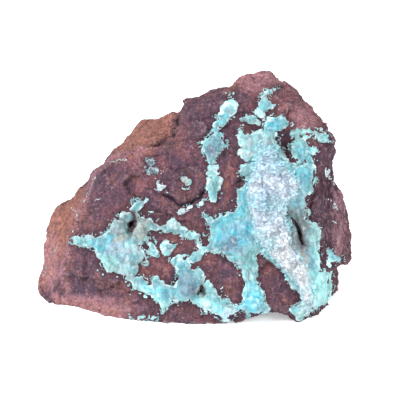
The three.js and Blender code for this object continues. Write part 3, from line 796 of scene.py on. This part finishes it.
# %% Bites
LACE = {1.8: 0.5, 0.8: 0.6, 0.4: 0.45}  # width of the gaps in the rim in mm: how deep they cut
BITES = [  # x and y on the display face, radius and depth, mm
    (4.4, 19, 1.4, 1), (5.2, 19.9, 1.1, 2.4), (8.7, 18.8, 1.1, 2.2), (6.8, 14.7, 0.9, 1.6),
    (5.5, 2, 0.7, 0.9), (2.6, 6, 0.7, 0.6), (4.8, 6.8, 0.8, 0.8), (1.6, 12.6, 1, 0.5),
    (-12.9, -6, 0.45, 1.8), (-12.4, -2.6, 0.35, 1.2), (0.6, 10.8, 0.8, 0.4), (2, 4.4, 1.2, 1),
    (9, 4.2, 1.2, 0.4), (9.2, 9, 0.8, 0.3), (9.2, 6.6, 0.6, 0.3), (-19.4, -12, 1.2, 0.8),
    (-17.6, -14.8, 0.8, 0.6), (-16.8, -15, 1, 0.9), (-14.4, -16.8, 1.4, 1.3), (-12.2, -18.8, 1.4, 1.5),
    (-10.4, -19.8, 1.2, 1.2), (-9.8, -2.3, 1, 1), (-8.4, -2.6, 1, 0.7), (-16.8, -4.6, 1.2, 0.8),
    (-18.4, -6.3, 1, 0.7), (-12.9, -0.6, 0.8, 0.8), (-6, -3.6, 1.6, 0.9), (-7.8, -6.8, 1.6, 0.8),
    (1.9, -8, 0.6, 1.6), (-1, -8, 1.2, 0.5), (-0.6, -12.8, 1, 0.8), (-5, -16, 0.9, 0.6),
    (-2, -11.6, 1.2, 0.6), (2.6, -5.6, 1.2, 0.6), (17.6, -16, 1.2, 0.5), (18, 8.4, 0.9, 0.7),
    (25.5, -11.6, 0.8, 0.8), (25.4, -6.6, 1, 0.7), (25.3, -9.6, 0.8, 0.8), (26.9, -12.4, 0.9, 2.4),
    (28.8, -10.2, 0.8, 1.4), (26.2, -4.8, 1.3, 0.9), (25.2, -8.2, 0.8, 0.8), (27.2, -13.4, 0.8, 2),
    (26.6, -11, 0.7, 1.6), (23.7, 11.6, 0.9, 1.4), (25.6, -22, 1.4, 0.8), (-1.6, 4.6, 0.6, 0.6),
]


def bitten(place, x, y, radius, depth):
    """How deep a bite goes at a place: most in its middle, and less and less around it."""
    return depth * math.exp(-((place.x - x) ** 2 + (place.y - y) ** 2) / radius**2)


def lace(place):
    """How far the rim is spread, or eaten into where it is less than nothing, in mm."""
    bites = sum(bitten(place, *bite) for bite in BITES)
    return sum(noise.noise(place / size) * depth for size, depth in LACE.items()) - bites


print(len(BITES), "bites, the deepest", max(bite[3] for bite in BITES), "mm")

# %% Let a rim down
RIM_SPREAD = 0.12  # mm
RIM_SLOPE = 1.2  # mm
RIM_REACH = 0.08  # mm
RIM_SUNK = 0.4  # mm that a lost part of the rim ends under the surface
RIM_ROUNDS = 3  # of smoothing
TOUCHING = 0.05  # mm
WALLS = (0.3, 0.8)  # how squarely a face looks forwards: a wall up to the first, the top from the second
DRAWN_IN = {  # how far the outline of a piece is drawn in, or let out where it is less than nothing, mm
    "rosasite_patch_upper_left": 0.2, "rosasite_patch_pale": 0.35, "rosasite_strip_right_edge": -0.15,
    "rosasite_patch_streak": -0.3, "rosasite_patch_middle": -0.15, DRUSE: -0.5,
}


def let_down(mesh, name, tree, ground_tree):
    """Spreads a skin's rim and lets it down unevenly into the ground. Says how far inside each point lies."""
    points = flat_of(points_of(mesh))
    outward = normals_of(mesh) @ np.array(face_to_room.to_3x3())
    rim, spots = rim_of(tree, points)
    steep = 1 - smoothstep(*WALLS, np.abs(outward[:, 2]))
    points[:, :2] += outward[:, :2] * steep[:, None] * RIM_SPREAD
    inside = np.zeros(len(points))
    for index, point in enumerate(points):
        spot = Vector(point)
        inside[index] = inward(rim, tree, spot) + RIM_SPREAD + RIM_REACH - DRAWN_IN.get(name, 0) + lace(spot)
        kept = float(smoothstep(0, RIM_SLOPE, inside[index]))
        ground, out, _, height = ground_tree.find_nearest(spot)
        if (spot - ground).dot(out) > 0:
            stands = (height + RIM_SUNK) * kept - RIM_SUNK
            points[index] = ground + (spot - ground) * (stands / max(height, TOUCHING))
    points = relaxed(points, edges_of(mesh), RIM_ROUNDS)
    put_points(mesh, np.array([face_to_room @ Vector(point) for point in points]) * MM)
    return inside, spots


# %% [markdown]
# ## Crumbs and needles
#
# Loose crumbs lie on the rock round a rim, and sprays of needles point out of it. Both are far too small
# for the remeshed skin, so each is a little body of its own with few faces: an icosphere pressed flat, or
# a four-sided cone. Particles could scatter them, but wouldn't end up in the piece's mesh.

# %% Crumbs
CRUMBS_PER_RIM = 0.4  # for each mm
CRUMB_SIZES = (0.12, 0.3)  # radius, mm
CRUMB_SCATTER = 0.65  # mm


def crumbs_round(spots, dice):
    """Loose crumbs on the rock round a crust's rim."""
    crumbs = bmesh.new()
    for _ in range(int(len(spots) * RIM_PITCH * CRUMBS_PER_RIM)):
        x, y = dice.choice(spots)
        x, y = dice.gauss(x, CRUMB_SCATTER), dice.gauss(y, CRUMB_SCATTER)
        radius = CRUMB_SIZES[0] + (CRUMB_SIZES[1] - CRUMB_SIZES[0]) * dice.random() ** 2
        ground = front_of(rock_tree, x, y)
        if ground is None:
            continue
        spot = face_to_room @ (ground + Vector((0, 0, radius * 0.3)))
        turn = Matrix.Rotation(dice.uniform(0, math.pi), 4, "Z")
        place = Matrix.Translation(spot * MM) @ turn @ Matrix.Diagonal((1, dice.uniform(0.6, 1), 0.8, 1))
        if spot.z > radius:
            bmesh.ops.create_icosphere(crumbs, subdivisions=1, radius=radius * MM, matrix=place)
    return crumbs


# %% Needles
NEEDLES_PER_RIM = 4  # for each mm
NEEDLE_LENGTHS = (0.4, 0.9)  # mm
NEEDLE_RADII = (0.07, 0.15)  # mm
NEEDLE_TIP = 0.3  # of the radius at the foot
NEEDLE_RISE = 0.5  # how steeply the most upright one leaves the rock
WORST_BITE = -0.6  # mm, past which no needles are left


def sprays_round(tree, spots, dice):
    """Needles that lie on the rock and point out of a crust's rim."""
    needles = bmesh.new()
    for _ in range(int(len(spots) * RIM_PITCH * NEEDLES_PER_RIM)):
        start, turn = Vector((*dice.choice(spots), 0)), dice.uniform(0, math.tau)
        length, radius = dice.uniform(*NEEDLE_LENGTHS), dice.uniform(*NEEDLE_RADII)
        towards = Vector((math.cos(turn), math.sin(turn), 0))
        tip = start + towards * length * 0.6
        ground = front_of(rock_tree, start.x, start.y)
        if ground is None or front_of(tree, tip.x, tip.y) is not None or lace(start) < WORST_BITE:
            continue
        towards.z = dice.uniform(0, NEEDLE_RISE)
        towards = face_to_room.to_3x3() @ towards.normalized()
        spot = face_to_room @ (ground + Vector((0, 0, radius))) * MM
        place = Matrix.Translation(spot) @ towards.to_track_quat("Z", "Y").to_matrix().to_4x4()
        bmesh.ops.create_cone(needles, cap_ends=True, segments=4, radius1=radius * MM,
                              radius2=radius * NEEDLE_TIP * MM, depth=length * MM, matrix=place)
    return needles


def joined(mesh, more):
    """Adds a bmesh to a mesh."""
    extra = bpy.data.meshes.new("extra")
    more.to_mesh(extra)
    more.free()
    both = bmesh.new()
    both.from_mesh(mesh)
    both.from_mesh(extra)
    both.to_mesh(mesh)
    both.free()


# %% [markdown]
# ## The colours of the rosasite
#
# Rosasite is sky blue to blue-green, deeper where it is pure copper and paler where zinc or calcite joined
# in. It is grey-green over old manganese films and lilac where the gossan shows through. Its pits and slits
# get painted shade, and a few patches near the lower edge get painted light. These are zones again,
# because the same velvet covers them all.

# %% Crust zones
CRUST_ZONES = {
    "teal": [
        (8, -5.5, 4.5, 4.5, 0), (16.5, 15, 3.5, 2, 0), (22.5, 8, 2.5, 6, -20), (-19, -10, 1.6, 3, 30),
        (11, -20, 2.4, 2.4, 0), (4.6, 17.5, 2, 3, 0), (9, 0, 2, 3, 0),
    ],
    "grey_green": [
        (-15, -4.6, 2.2, 3, 0), (-13.6, -2, 2.6, 1.3, 40), (20.8, -6.5, 2.2, 6.5, -8),
        (-9, -3.8, 4, 1, -15), (18.6, -2.4, 2.4, 1.6, 0),
    ],
    "grey_blue": [
        (-1, -15.8, 2.8, 3.2, 0), (4, 9.8, 1.9, 2.8, 0), (7, -8.5, 2, 1.2, 40), (13, 4.5, 2.5, 2, 0),
    ],
    # pale crust, and painted light near the lower edge where the crust is lit brightest
    "white": [
        (14.5, 6, 4.5, 7.5, 10), (20.6, -18, 3, 6, 25), (-12.5, -12, 3.4, 4, -30), (5, -21.6, 4, 1.6, -15),
        (-6.6, 3.6, 2, 2, 0), (-4.4, -4.4, 3, 1, -20), (12, 10, 3, 4, 0),
    ],
    "green": [
        (25.6, -17, 3, 5, 10), (24.4, -6, 1.6, 5, 0), (8, -15.4, 1.4, 2.4, 0), (-16, -13, 4, 2, -40),
        (-8, -20, 5, 1.6, -30), (20, -23, 3, 1.4, 0), (22, 13, 4, 2, 0),
    ],
    # painted light on parts of the crust near its lower edge and on the right
    "painted_light": [
        (26.5, -16.5, 4, 7, 10), (4, -21.6, 5, 1.6, -15), (-8, -18.6, 4, 1.8, -30), (11, -19, 3, 3, 0),
    ],
    "lilac": [(-9, 6.8, 2.6, 3.2, 0), (-2.6, 6, 1.6, 1.4, 0)],
    "cream": [
        (-2.2, 3.8, 1.6, 2, 0), (-10.8, -6, 2, 2, 0), (-14.6, -7.4, 1.8, 0.7, 15),
        (21.4, -12, 1.6, 2.4, 20),
    ],
    # painted shade in the slits and hollows of the crust
    "pit": [
        (-12.5, -4.8, 0.9, 3.2, -12), (20.9, -6.8, 0.8, 3, 8), (1.6, -17.8, 0.8, 1.2, 0),
        (18.2, -2.4, 1.4, 0.6, 10),
    ],
    "bleached": [(-2.1, -2.2, 2.2, 1.2, 30), (-6.8, 3.6, 1.8, 1.6, 0), (-21, -5.6, 2, 1.4, 0)],
}
print(len(CRUST_ZONES), "colour zones on the crusts")

# %% [markdown]
# ## The finish of the rosasite
#
# A velvet of needles scatters light softly: it is matt and has a faint sheen. Its crests and rims get a
# painted highlight, the rims a mint colour too, and its pits painted shade. Fine noise stands for the
# tufts, too small for the mesh, in colour and in bump.

# %% Crust colours
AQUA = colour(132, 222, 234)
DEEP_TEAL = colour(60, 184, 208)
SAGE = colour(126, 140, 142)
SLATE = colour(98, 128, 156)
SKY = colour(176, 204, 226)
FROST = colour(228, 246, 252)
MINT = colour(156, 228, 224)
LILAC = colour(132, 128, 162)
INK = colour(78, 88, 118)
CREAM = colour(206, 208, 196)
PIT_SHADE = colour(80, 60, 72)

# %% Crust finish
rosasite = Finish("rosasite", {"Roughness": 0.8, "Specular IOR Level": 0.4, "Sheen Weight": 0.2})
tufts = rosasite.noise(1.1, detail=5, roughness=0.7).between(0.38, 0.62)
fibres = rosasite.noise(0.9, detail=3, roughness=0.65, stretch=(1, 1, 0.4)).between(0.36, 0.64)
clouds = rosasite.noise(2.2, detail=4, roughness=0.65).between(0.42, 0.58)
drifts = rosasite.noise(5, detail=4)
relief = rosasite.attribute("relief")
core = rosasite.attribute("core")
teal, grey_green, grey_blue, white, green, painted_light, lilac, cream, pit, bleached = (
    rosasite.attribute(name) for name in CRUST_ZONES)
# the rim carries a painted highlight, besides its mint colour
rim = rosasite.attribute("rim") * (1 - lilac * 0.7 - cream * 0.8) * (1 - pit * 0.9)

skin = rosasite.layered(AQUA, [
    (DEEP_TEAL, clouds * 0.5),
    (MINT, drifts.between(0.46, 0.6) * 0.6),
    (SKY, core * (0.2 + (1 - clouds) * 0.7)),
    (DEEP_TEAL, teal * (0.45 + clouds * 0.5)),
    (SAGE, grey_green * (0.65 + clouds * 0.35)),
    (SLATE, grey_blue * (0.4 + clouds * 0.6)),
    (MINT, green * 0.85),
    # pale crust, partly painted light near the lower edge
    (FROST, white * (1 - clouds) * 0.8),
    (LILAC, lilac * (0.5 + tufts * 0.5)),
    (CREAM, cream * (0.6 + tufts * 0.4)),
    # painted highlight on the crests and painted shade in the pits
    (FROST, (relief * 0.5 + tufts * 0.5).between(0.5, 0.85) * 0.5),
    (DEEP_TEAL, (1 - relief).between(0.5, 0.9) * 0.5),
    (SLATE, (1 - fibres).between(0.5, 1.0) * 0.3),
    (PIT_SHADE, (1 - relief).between(0.6, 0.95) * (1 - tufts) * 0.8),
    (INK, lilac * (1 - tufts).between(0.3, 0.8) * 0.85),
    (FROST, lilac * tufts.between(0.6, 0.9) * 0.8),
    # painted shade in the slits and hollows
    (PIT_SHADE, pit * (0.6 + clouds * 0.4)),
    # the rim's mint colour, then its painted highlight; the bleached patches are really pale
    (MINT, rim * 0.6),
    (FROST, rim * (0.15 + tufts * 0.7) + bleached * (0.6 + tufts * 0.4)),
])
# painted light: the rims and the lit zones are made brighter
skin = rosasite.shade(skin, 0.6 + fibres * 0.28 + rim * (0.25 + tufts * 0.3) + painted_light * 0.32 + teal * 0.1)
fuzz = rosasite.bump(tufts * 0.6 + fibres * 0.4, 0.22)
rosasite_material = rosasite.wear(Base_Color=skin, Roughness=0.7 + tufts * 0.2, Normal=fuzz)

# %% [markdown]
# ## Growing the crusts
#
# With the parts ready, each crust is rooted, remade, let down and swollen into balls. The balls push
# outwards more than sideways, so that neighbours don't run into each other. What the finish needs to know
# of each point, such as how near it is to the rim, is kept as attributes of the mesh.

# %% Swell the balls
BALL_SIZES = {3.0: 0.45, 1.4: 0.26, 0.7: 0.12}  # width of the balls in mm: how far they swell
BALL_BEND = 0.5  # mm that a ball strays from a round shape
BALL_WARP = 0.9  # mm, the size of the lumps on the balls
BALL_GRIT = 0.16  # mm, their height
BALLS_SUNK = 0.35  # mm, which keeps the mean height of the skin
RIM_BALLS = 0.3  # share of their height that the balls have at the rim
SIDEWAYS_LOST = 0.6  # share of their push sideways that the balls do without


def swollen(place):
    """How far the balls stand out, in mm."""
    bent = place + noise.noise_vector(place / BALL_WARP) * BALL_BEND
    balls = sum(domes(bent, size) * swell for size, swell in BALL_SIZES.items())
    return balls + noise.fractal(place / BALL_WARP, 0.5, 2.2, 3) * BALL_GRIT


def swell(mesh, kept):
    """Pushes balls out of a skin, less where little of it is kept."""
    points, outward = points_of(mesh), normals_of(mesh)
    heights = (sampled(points, swollen) - BALLS_SUNK) * (RIM_BALLS + (1 - RIM_BALLS) * kept)
    sideways = outward - (outward @ np.array(FACE_OUT))[:, None] * np.array(FACE_OUT)
    put_points(mesh, points + (outward - sideways * SIDEWAYS_LOST) * heights[:, None] * MM)


# %% Grow the crusts
CRUST_VOXEL = 0.206  # mm
RIM_FADES = (0.3, 1.0)  # mm inside the outline, between which the rim's painted highlight and mint colour end
CORE_STARTS = (1.2, 3.2)  # mm inside the outline, between which the blue core starts


def with_crumbs(values, count, filling):
    """Values of a skin's points, with the same filling for all the points that joined it since."""
    return np.concatenate([values, np.full(count - len(values), filling)])


for seed, name in enumerate(CRUSTS):
    shape = rooted(name, BUDS)
    tree = tree_in(shape)
    skin_mesh = remade(shape, CRUST_VOXEL)
    inside, spots = let_down(skin_mesh, name, tree, rock_tree)
    swell(skin_mesh, smoothstep(0, RIM_SLOPE, inside))
    stands = relief_of(skin_mesh, rounds=8, height=0.35)
    joined(skin_mesh, crumbs_round(spots, random.Random(seed)))
    joined(skin_mesh, sprays_round(tree, spots, random.Random(seed)))
    above_floor(skin_mesh)
    count = len(skin_mesh.vertices)
    put_attribute(skin_mesh, "relief", with_crumbs(stands, count, 0.6))
    put_attribute(skin_mesh, "rim", with_crumbs(1 - smoothstep(*RIM_FADES, inside), count, 0.8))
    put_attribute(skin_mesh, "core", with_crumbs(smoothstep(*CORE_STARTS, inside), count, 0))
    for zone_name, ellipses in CRUST_ZONES.items():
        put_attribute(skin_mesh, zone_name, zone(points_of(skin_mesh), ellipses))
    finished(name.replace("rosasite", "rosasite_growth"), skin_mesh, rosasite_material, name)

# %% [markdown]
# ## Pale flecks
#
# Here and there a film of pale mineral clings to a crack or a worn edge. It is too thin for a solid of its
# own, so each fleck is a short trail of flat grains that follow a line on the rock, with gaps where noise
# breaks the film. They share the finish of the crusts, bleached on the right and cream on the left.

# %% Flecks
FLECKS = [
    [(-16.6, 7.6), (-15, 8.2), (-13.2, 8.2)], [(-20.4, 0.1), (-18.6, 0.3)],
    [(-24.8, -1), (-23.4, -2.4), (-23.2, -3.8)],
    [(-30.2, -15), (-29.2, -12.6)], [(-28.4, -10.6), (-27.2, -9.2)],
    [(-19.6, 5.2), (-20.8, 2.2), (-22, -0.4)],
    [(26, 6.6), (26.2, 5), (27.4, 4.2), (28, 3.2)], [(26.6, 0.4), (27.8, -0.4), (28.4, -1.6)],
    [(27.2, 0.4), (27.6, -1.6)], [(26.4, 4.8), (26.8, 6.4)], [(27.8, -4), (28.6, -5.2)],
    [(8.2, -1), (8.8, -1.6)], [(-25, -10.4), (-24.4, -10.8)], [(5.2, -17.2), (5.4, -17)],
    [(-8.2, 7.6), (-8.4, 9)],
]
FLECK_GRAINS = 12  # for each mm
FLECK_SIZES = (0.05, 0.2)  # radius, mm
FLECK_GAPS = 0.9  # mm
FLECK_SCATTER = 0.12  # mm
FILM_FROM = -0.25  # the noise below which the film is broken
GRAIN_SHAPE = Matrix.Diagonal((1.8, 0.6, 0.5, 1))
CREAM_TO_BLEACHED = (-6, 6)  # mm across the display face

dice = random.Random(5)
fleck_shape = bmesh.new()
for line in FLECKS:
    for start, end in zip(line, line[1:]):
        start, end = Vector(start), Vector(end)
        for _ in range(max(3, int((end - start).length * FLECK_GRAINS))):
            spot = start.lerp(end, dice.random()).to_3d()
            film = noise.noise(spot / FLECK_GAPS)
            spot += Vector((dice.gauss(0, FLECK_SCATTER), dice.gauss(0, FLECK_SCATTER), 0))
            ground = front_of(rock_tree, spot.x, spot.y)
            radius = dice.uniform(*FLECK_SIZES) * (0.7 if spot.x < 0 else 1)
            if ground is not None and film > FILM_FROM:
                run = (end - start).angle_signed(Vector((1, 0))) + dice.gauss(0, 0.4)
                turn = face_to_room.to_3x3().to_4x4() @ Matrix.Rotation(run, 4, "Z") @ GRAIN_SHAPE
                place = Matrix.Translation(face_to_room @ (ground + Vector((0, 0, radius * 0.2))) * MM) @ turn
                bmesh.ops.create_icosphere(fleck_shape, subdivisions=1, radius=radius * MM, matrix=place)
fleck_mesh = bpy.data.meshes.new("flecks")
fleck_shape.to_mesh(fleck_mesh)
fleck_shape.free()
above_floor(fleck_mesh)
dusty = 1 - smoothstep(*CREAM_TO_BLEACHED, flat_of(points_of(fleck_mesh))[:, 0])
# every fleck gets painted light, and the right ones a painted highlight as their rim
for name, values in {"relief": np.full(len(dusty), 0.8), "rim": 1 - dusty, "bleached": 1 - dusty,
                     "painted_light": np.ones(len(dusty)), "cream": dusty}.items():
    put_attribute(fleck_mesh, name, values)
finished("pale_flecks", fleck_mesh, rosasite_material, None)

# %% [markdown]
# ## The calcite druse
#
# Calcite came last and cements the thickest crust under a milky druse. Each crystal is a rhomb, a cube
# leaned over on its corner. Over a thousand of them are stood at all angles on the frame's solid, half sunk
# in it. Flat faces between sharp edges give the sparkle that a smooth skin with a bump wouldn't.

# %% Rhombs
LEAN_OVER = 0.27  # how far a cube's sides lean towards its corner
RHOMB_SHAPE = Matrix((
    (1, LEAN_OVER, LEAN_OVER, 0), (LEAN_OVER, 1, LEAN_OVER, 0), (LEAN_OVER, LEAN_OVER, 1, 0), (0, 0, 0, 1)))
RHOMB_TILT = math.radians(28)
RHOMB_SIZES = (0.35, 1)  # mm
RHOMBS_PER_AREA = 7  # for each square mm
DRUSE_FRAY = 0.9  # mm that single rhombs stray past the rim
SUNK, SUNK_AT_RIM = 0.45, 0.75  # shares of its size that a rhomb is sunk
RIM_WIDTH = 1  # mm


def rhomb(shape, place, size, dice):
    """Adds one calcite rhomb at a place on the display face."""
    angle, hinge = dice.gauss(0, RHOMB_TILT), Vector((dice.gauss(0, 1), dice.gauss(0, 1), 0))
    tilt = Matrix.Rotation(angle, 4, hinge.normalized())
    turn = face_to_room.to_3x3().to_4x4() @ tilt @ Matrix.Rotation(dice.uniform(0, math.tau), 4, "Z")
    spot = Matrix.Translation(face_to_room @ place * MM)
    bmesh.ops.create_cube(shape, size=size * MM, matrix=spot @ turn @ RHOMB_SHAPE)


def rhombs_on(name, ground_tree, seed):
    """Small rhombs at all angles over one of the frame's solids, thinning out past its rim."""
    own = tree_of(name)
    rim, spots = rim_of(own, flat_of(nudged(points_of(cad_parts[name].data), CRUST_NUDGES)))
    (left, bottom), (right, top) = np.min(spots, axis=0) - DRUSE_FRAY, np.max(spots, axis=0) + DRUSE_FRAY
    dice = random.Random(seed)
    crystals = bmesh.new()
    for _ in range(int((right - left) * (top - bottom) * RHOMBS_PER_AREA)):
        x, y, size = dice.uniform(left, right), dice.uniform(bottom, top), dice.random() ** 2
        inside = inward(rim, own, Vector((x, y, 0)))
        crown = front_of(own if inside > 0 else ground_tree, x, y)
        if crown is None or inside < -DRUSE_FRAY * dice.random():
            continue
        size = RHOMB_SIZES[0] + (RHOMB_SIZES[1] - RHOMB_SIZES[0]) * size * min(max(0.4 + inside, 0.3), 1)
        sunk = SUNK if inside > RIM_WIDTH else SUNK_AT_RIM
        rhomb(crystals, crown - Vector((0, 0, size * sunk)), size, dice)
    print(len(crystals.faces) // 6, "rhombs")
    return crystals


# %% Druse shape
DRUSE_VOXEL = 0.3  # mm

crust_skins = tree_of(*CRUSTS, ROCK)
own = tree_of(DRUSE)
druse_mesh = remade(rooted(DRUSE, buds=[]), DRUSE_VOXEL)
let_down(druse_mesh, DRUSE, own, crust_skins)
joined(druse_mesh, rhombs_on(DRUSE, crust_skins, seed=11))
above_floor(druse_mesh)

# %% Druse zones
DRUSE_ZONES = {
    "ice": [(14, 9.5, 5, 4.5, 10), (12, 0, 3, 2, 0)],
    "chalk": [(20.5, -17, 3, 8, 25), (17, -9, 3, 4, 20)],
}
SEA_RIM = (-0.4, 0.9)  # mm inside the outline, between which the sea-green rim ends

druse_points = points_of(druse_mesh)
rim_tree, _ = rim_of(own, flat_of(druse_points))
depth = np.array([inward(rim_tree, own, on_face(Vector(point))) for point in druse_points])
put_attribute(druse_mesh, "rim", 1 - smoothstep(*SEA_RIM, depth))
for name, ellipses in DRUSE_ZONES.items():
    put_attribute(druse_mesh, name, zone(druse_points, ellipses))
print("the druse reaches", round(float(depth.max()), 1), "mm in from its rim")

# %% [markdown]
# ## The finish of the calcite
#
# These crystals are milky: light enters, wanders about and comes out pale and a little blue. Subsurface
# scattering does that, with only a touch of transmission, since clear glass would look wet and dark here.
# The druse is icy where it is thick, sea-green where the rosasite shows through its rim, and chalky at
# its weathered tail.

# %% Calcite finish
# linear light, since most of it comes from inside the crystals and not straight from the lamps
MILK = (0.5, 0.6, 0.72, 1)
ICE = (0.36, 0.5, 0.68, 1)
SEA = (0.24, 0.56, 0.66, 1)
CHALK = (0.64, 0.68, 0.7, 1)

calcite = Finish("calcite", {
    "Roughness": 0.5, "IOR": 1.5, "Transmission Weight": 0.1, "Subsurface Weight": 0.6,
    "Subsurface Radius": (0.8 * MM, 1.1 * MM, 1.4 * MM), "Subsurface Scale": 1.0})
veils = calcite.noise(2.2, detail=4, roughness=0.6)
specks = calcite.noise(0.7, detail=3).between(0.36, 0.64)
ice, chalk, rim = (calcite.attribute(name) for name in ("ice", "chalk", "rim"))
skin = calcite.layered(MILK, [
    (ICE, veils.between(0.42, 0.62) * 0.65 + (1 - specks).between(0.6, 1.0) * 0.25),
    (ICE, ice * 0.95),
    (CHALK, chalk * 0.55),
    (SEA, calcite.noise(4).between(0.5, 0.66) * 0.5 + rim * 0.8 + ice * 0.25),
])
etched = calcite.bump(specks, 0.06)
calcite_material = calcite.wear(Base_Color=skin, Roughness=0.3 + veils * 0.3, Normal=etched)
finished("calcite_crystals", druse_mesh, calcite_material, DRUSE, smooth=False)
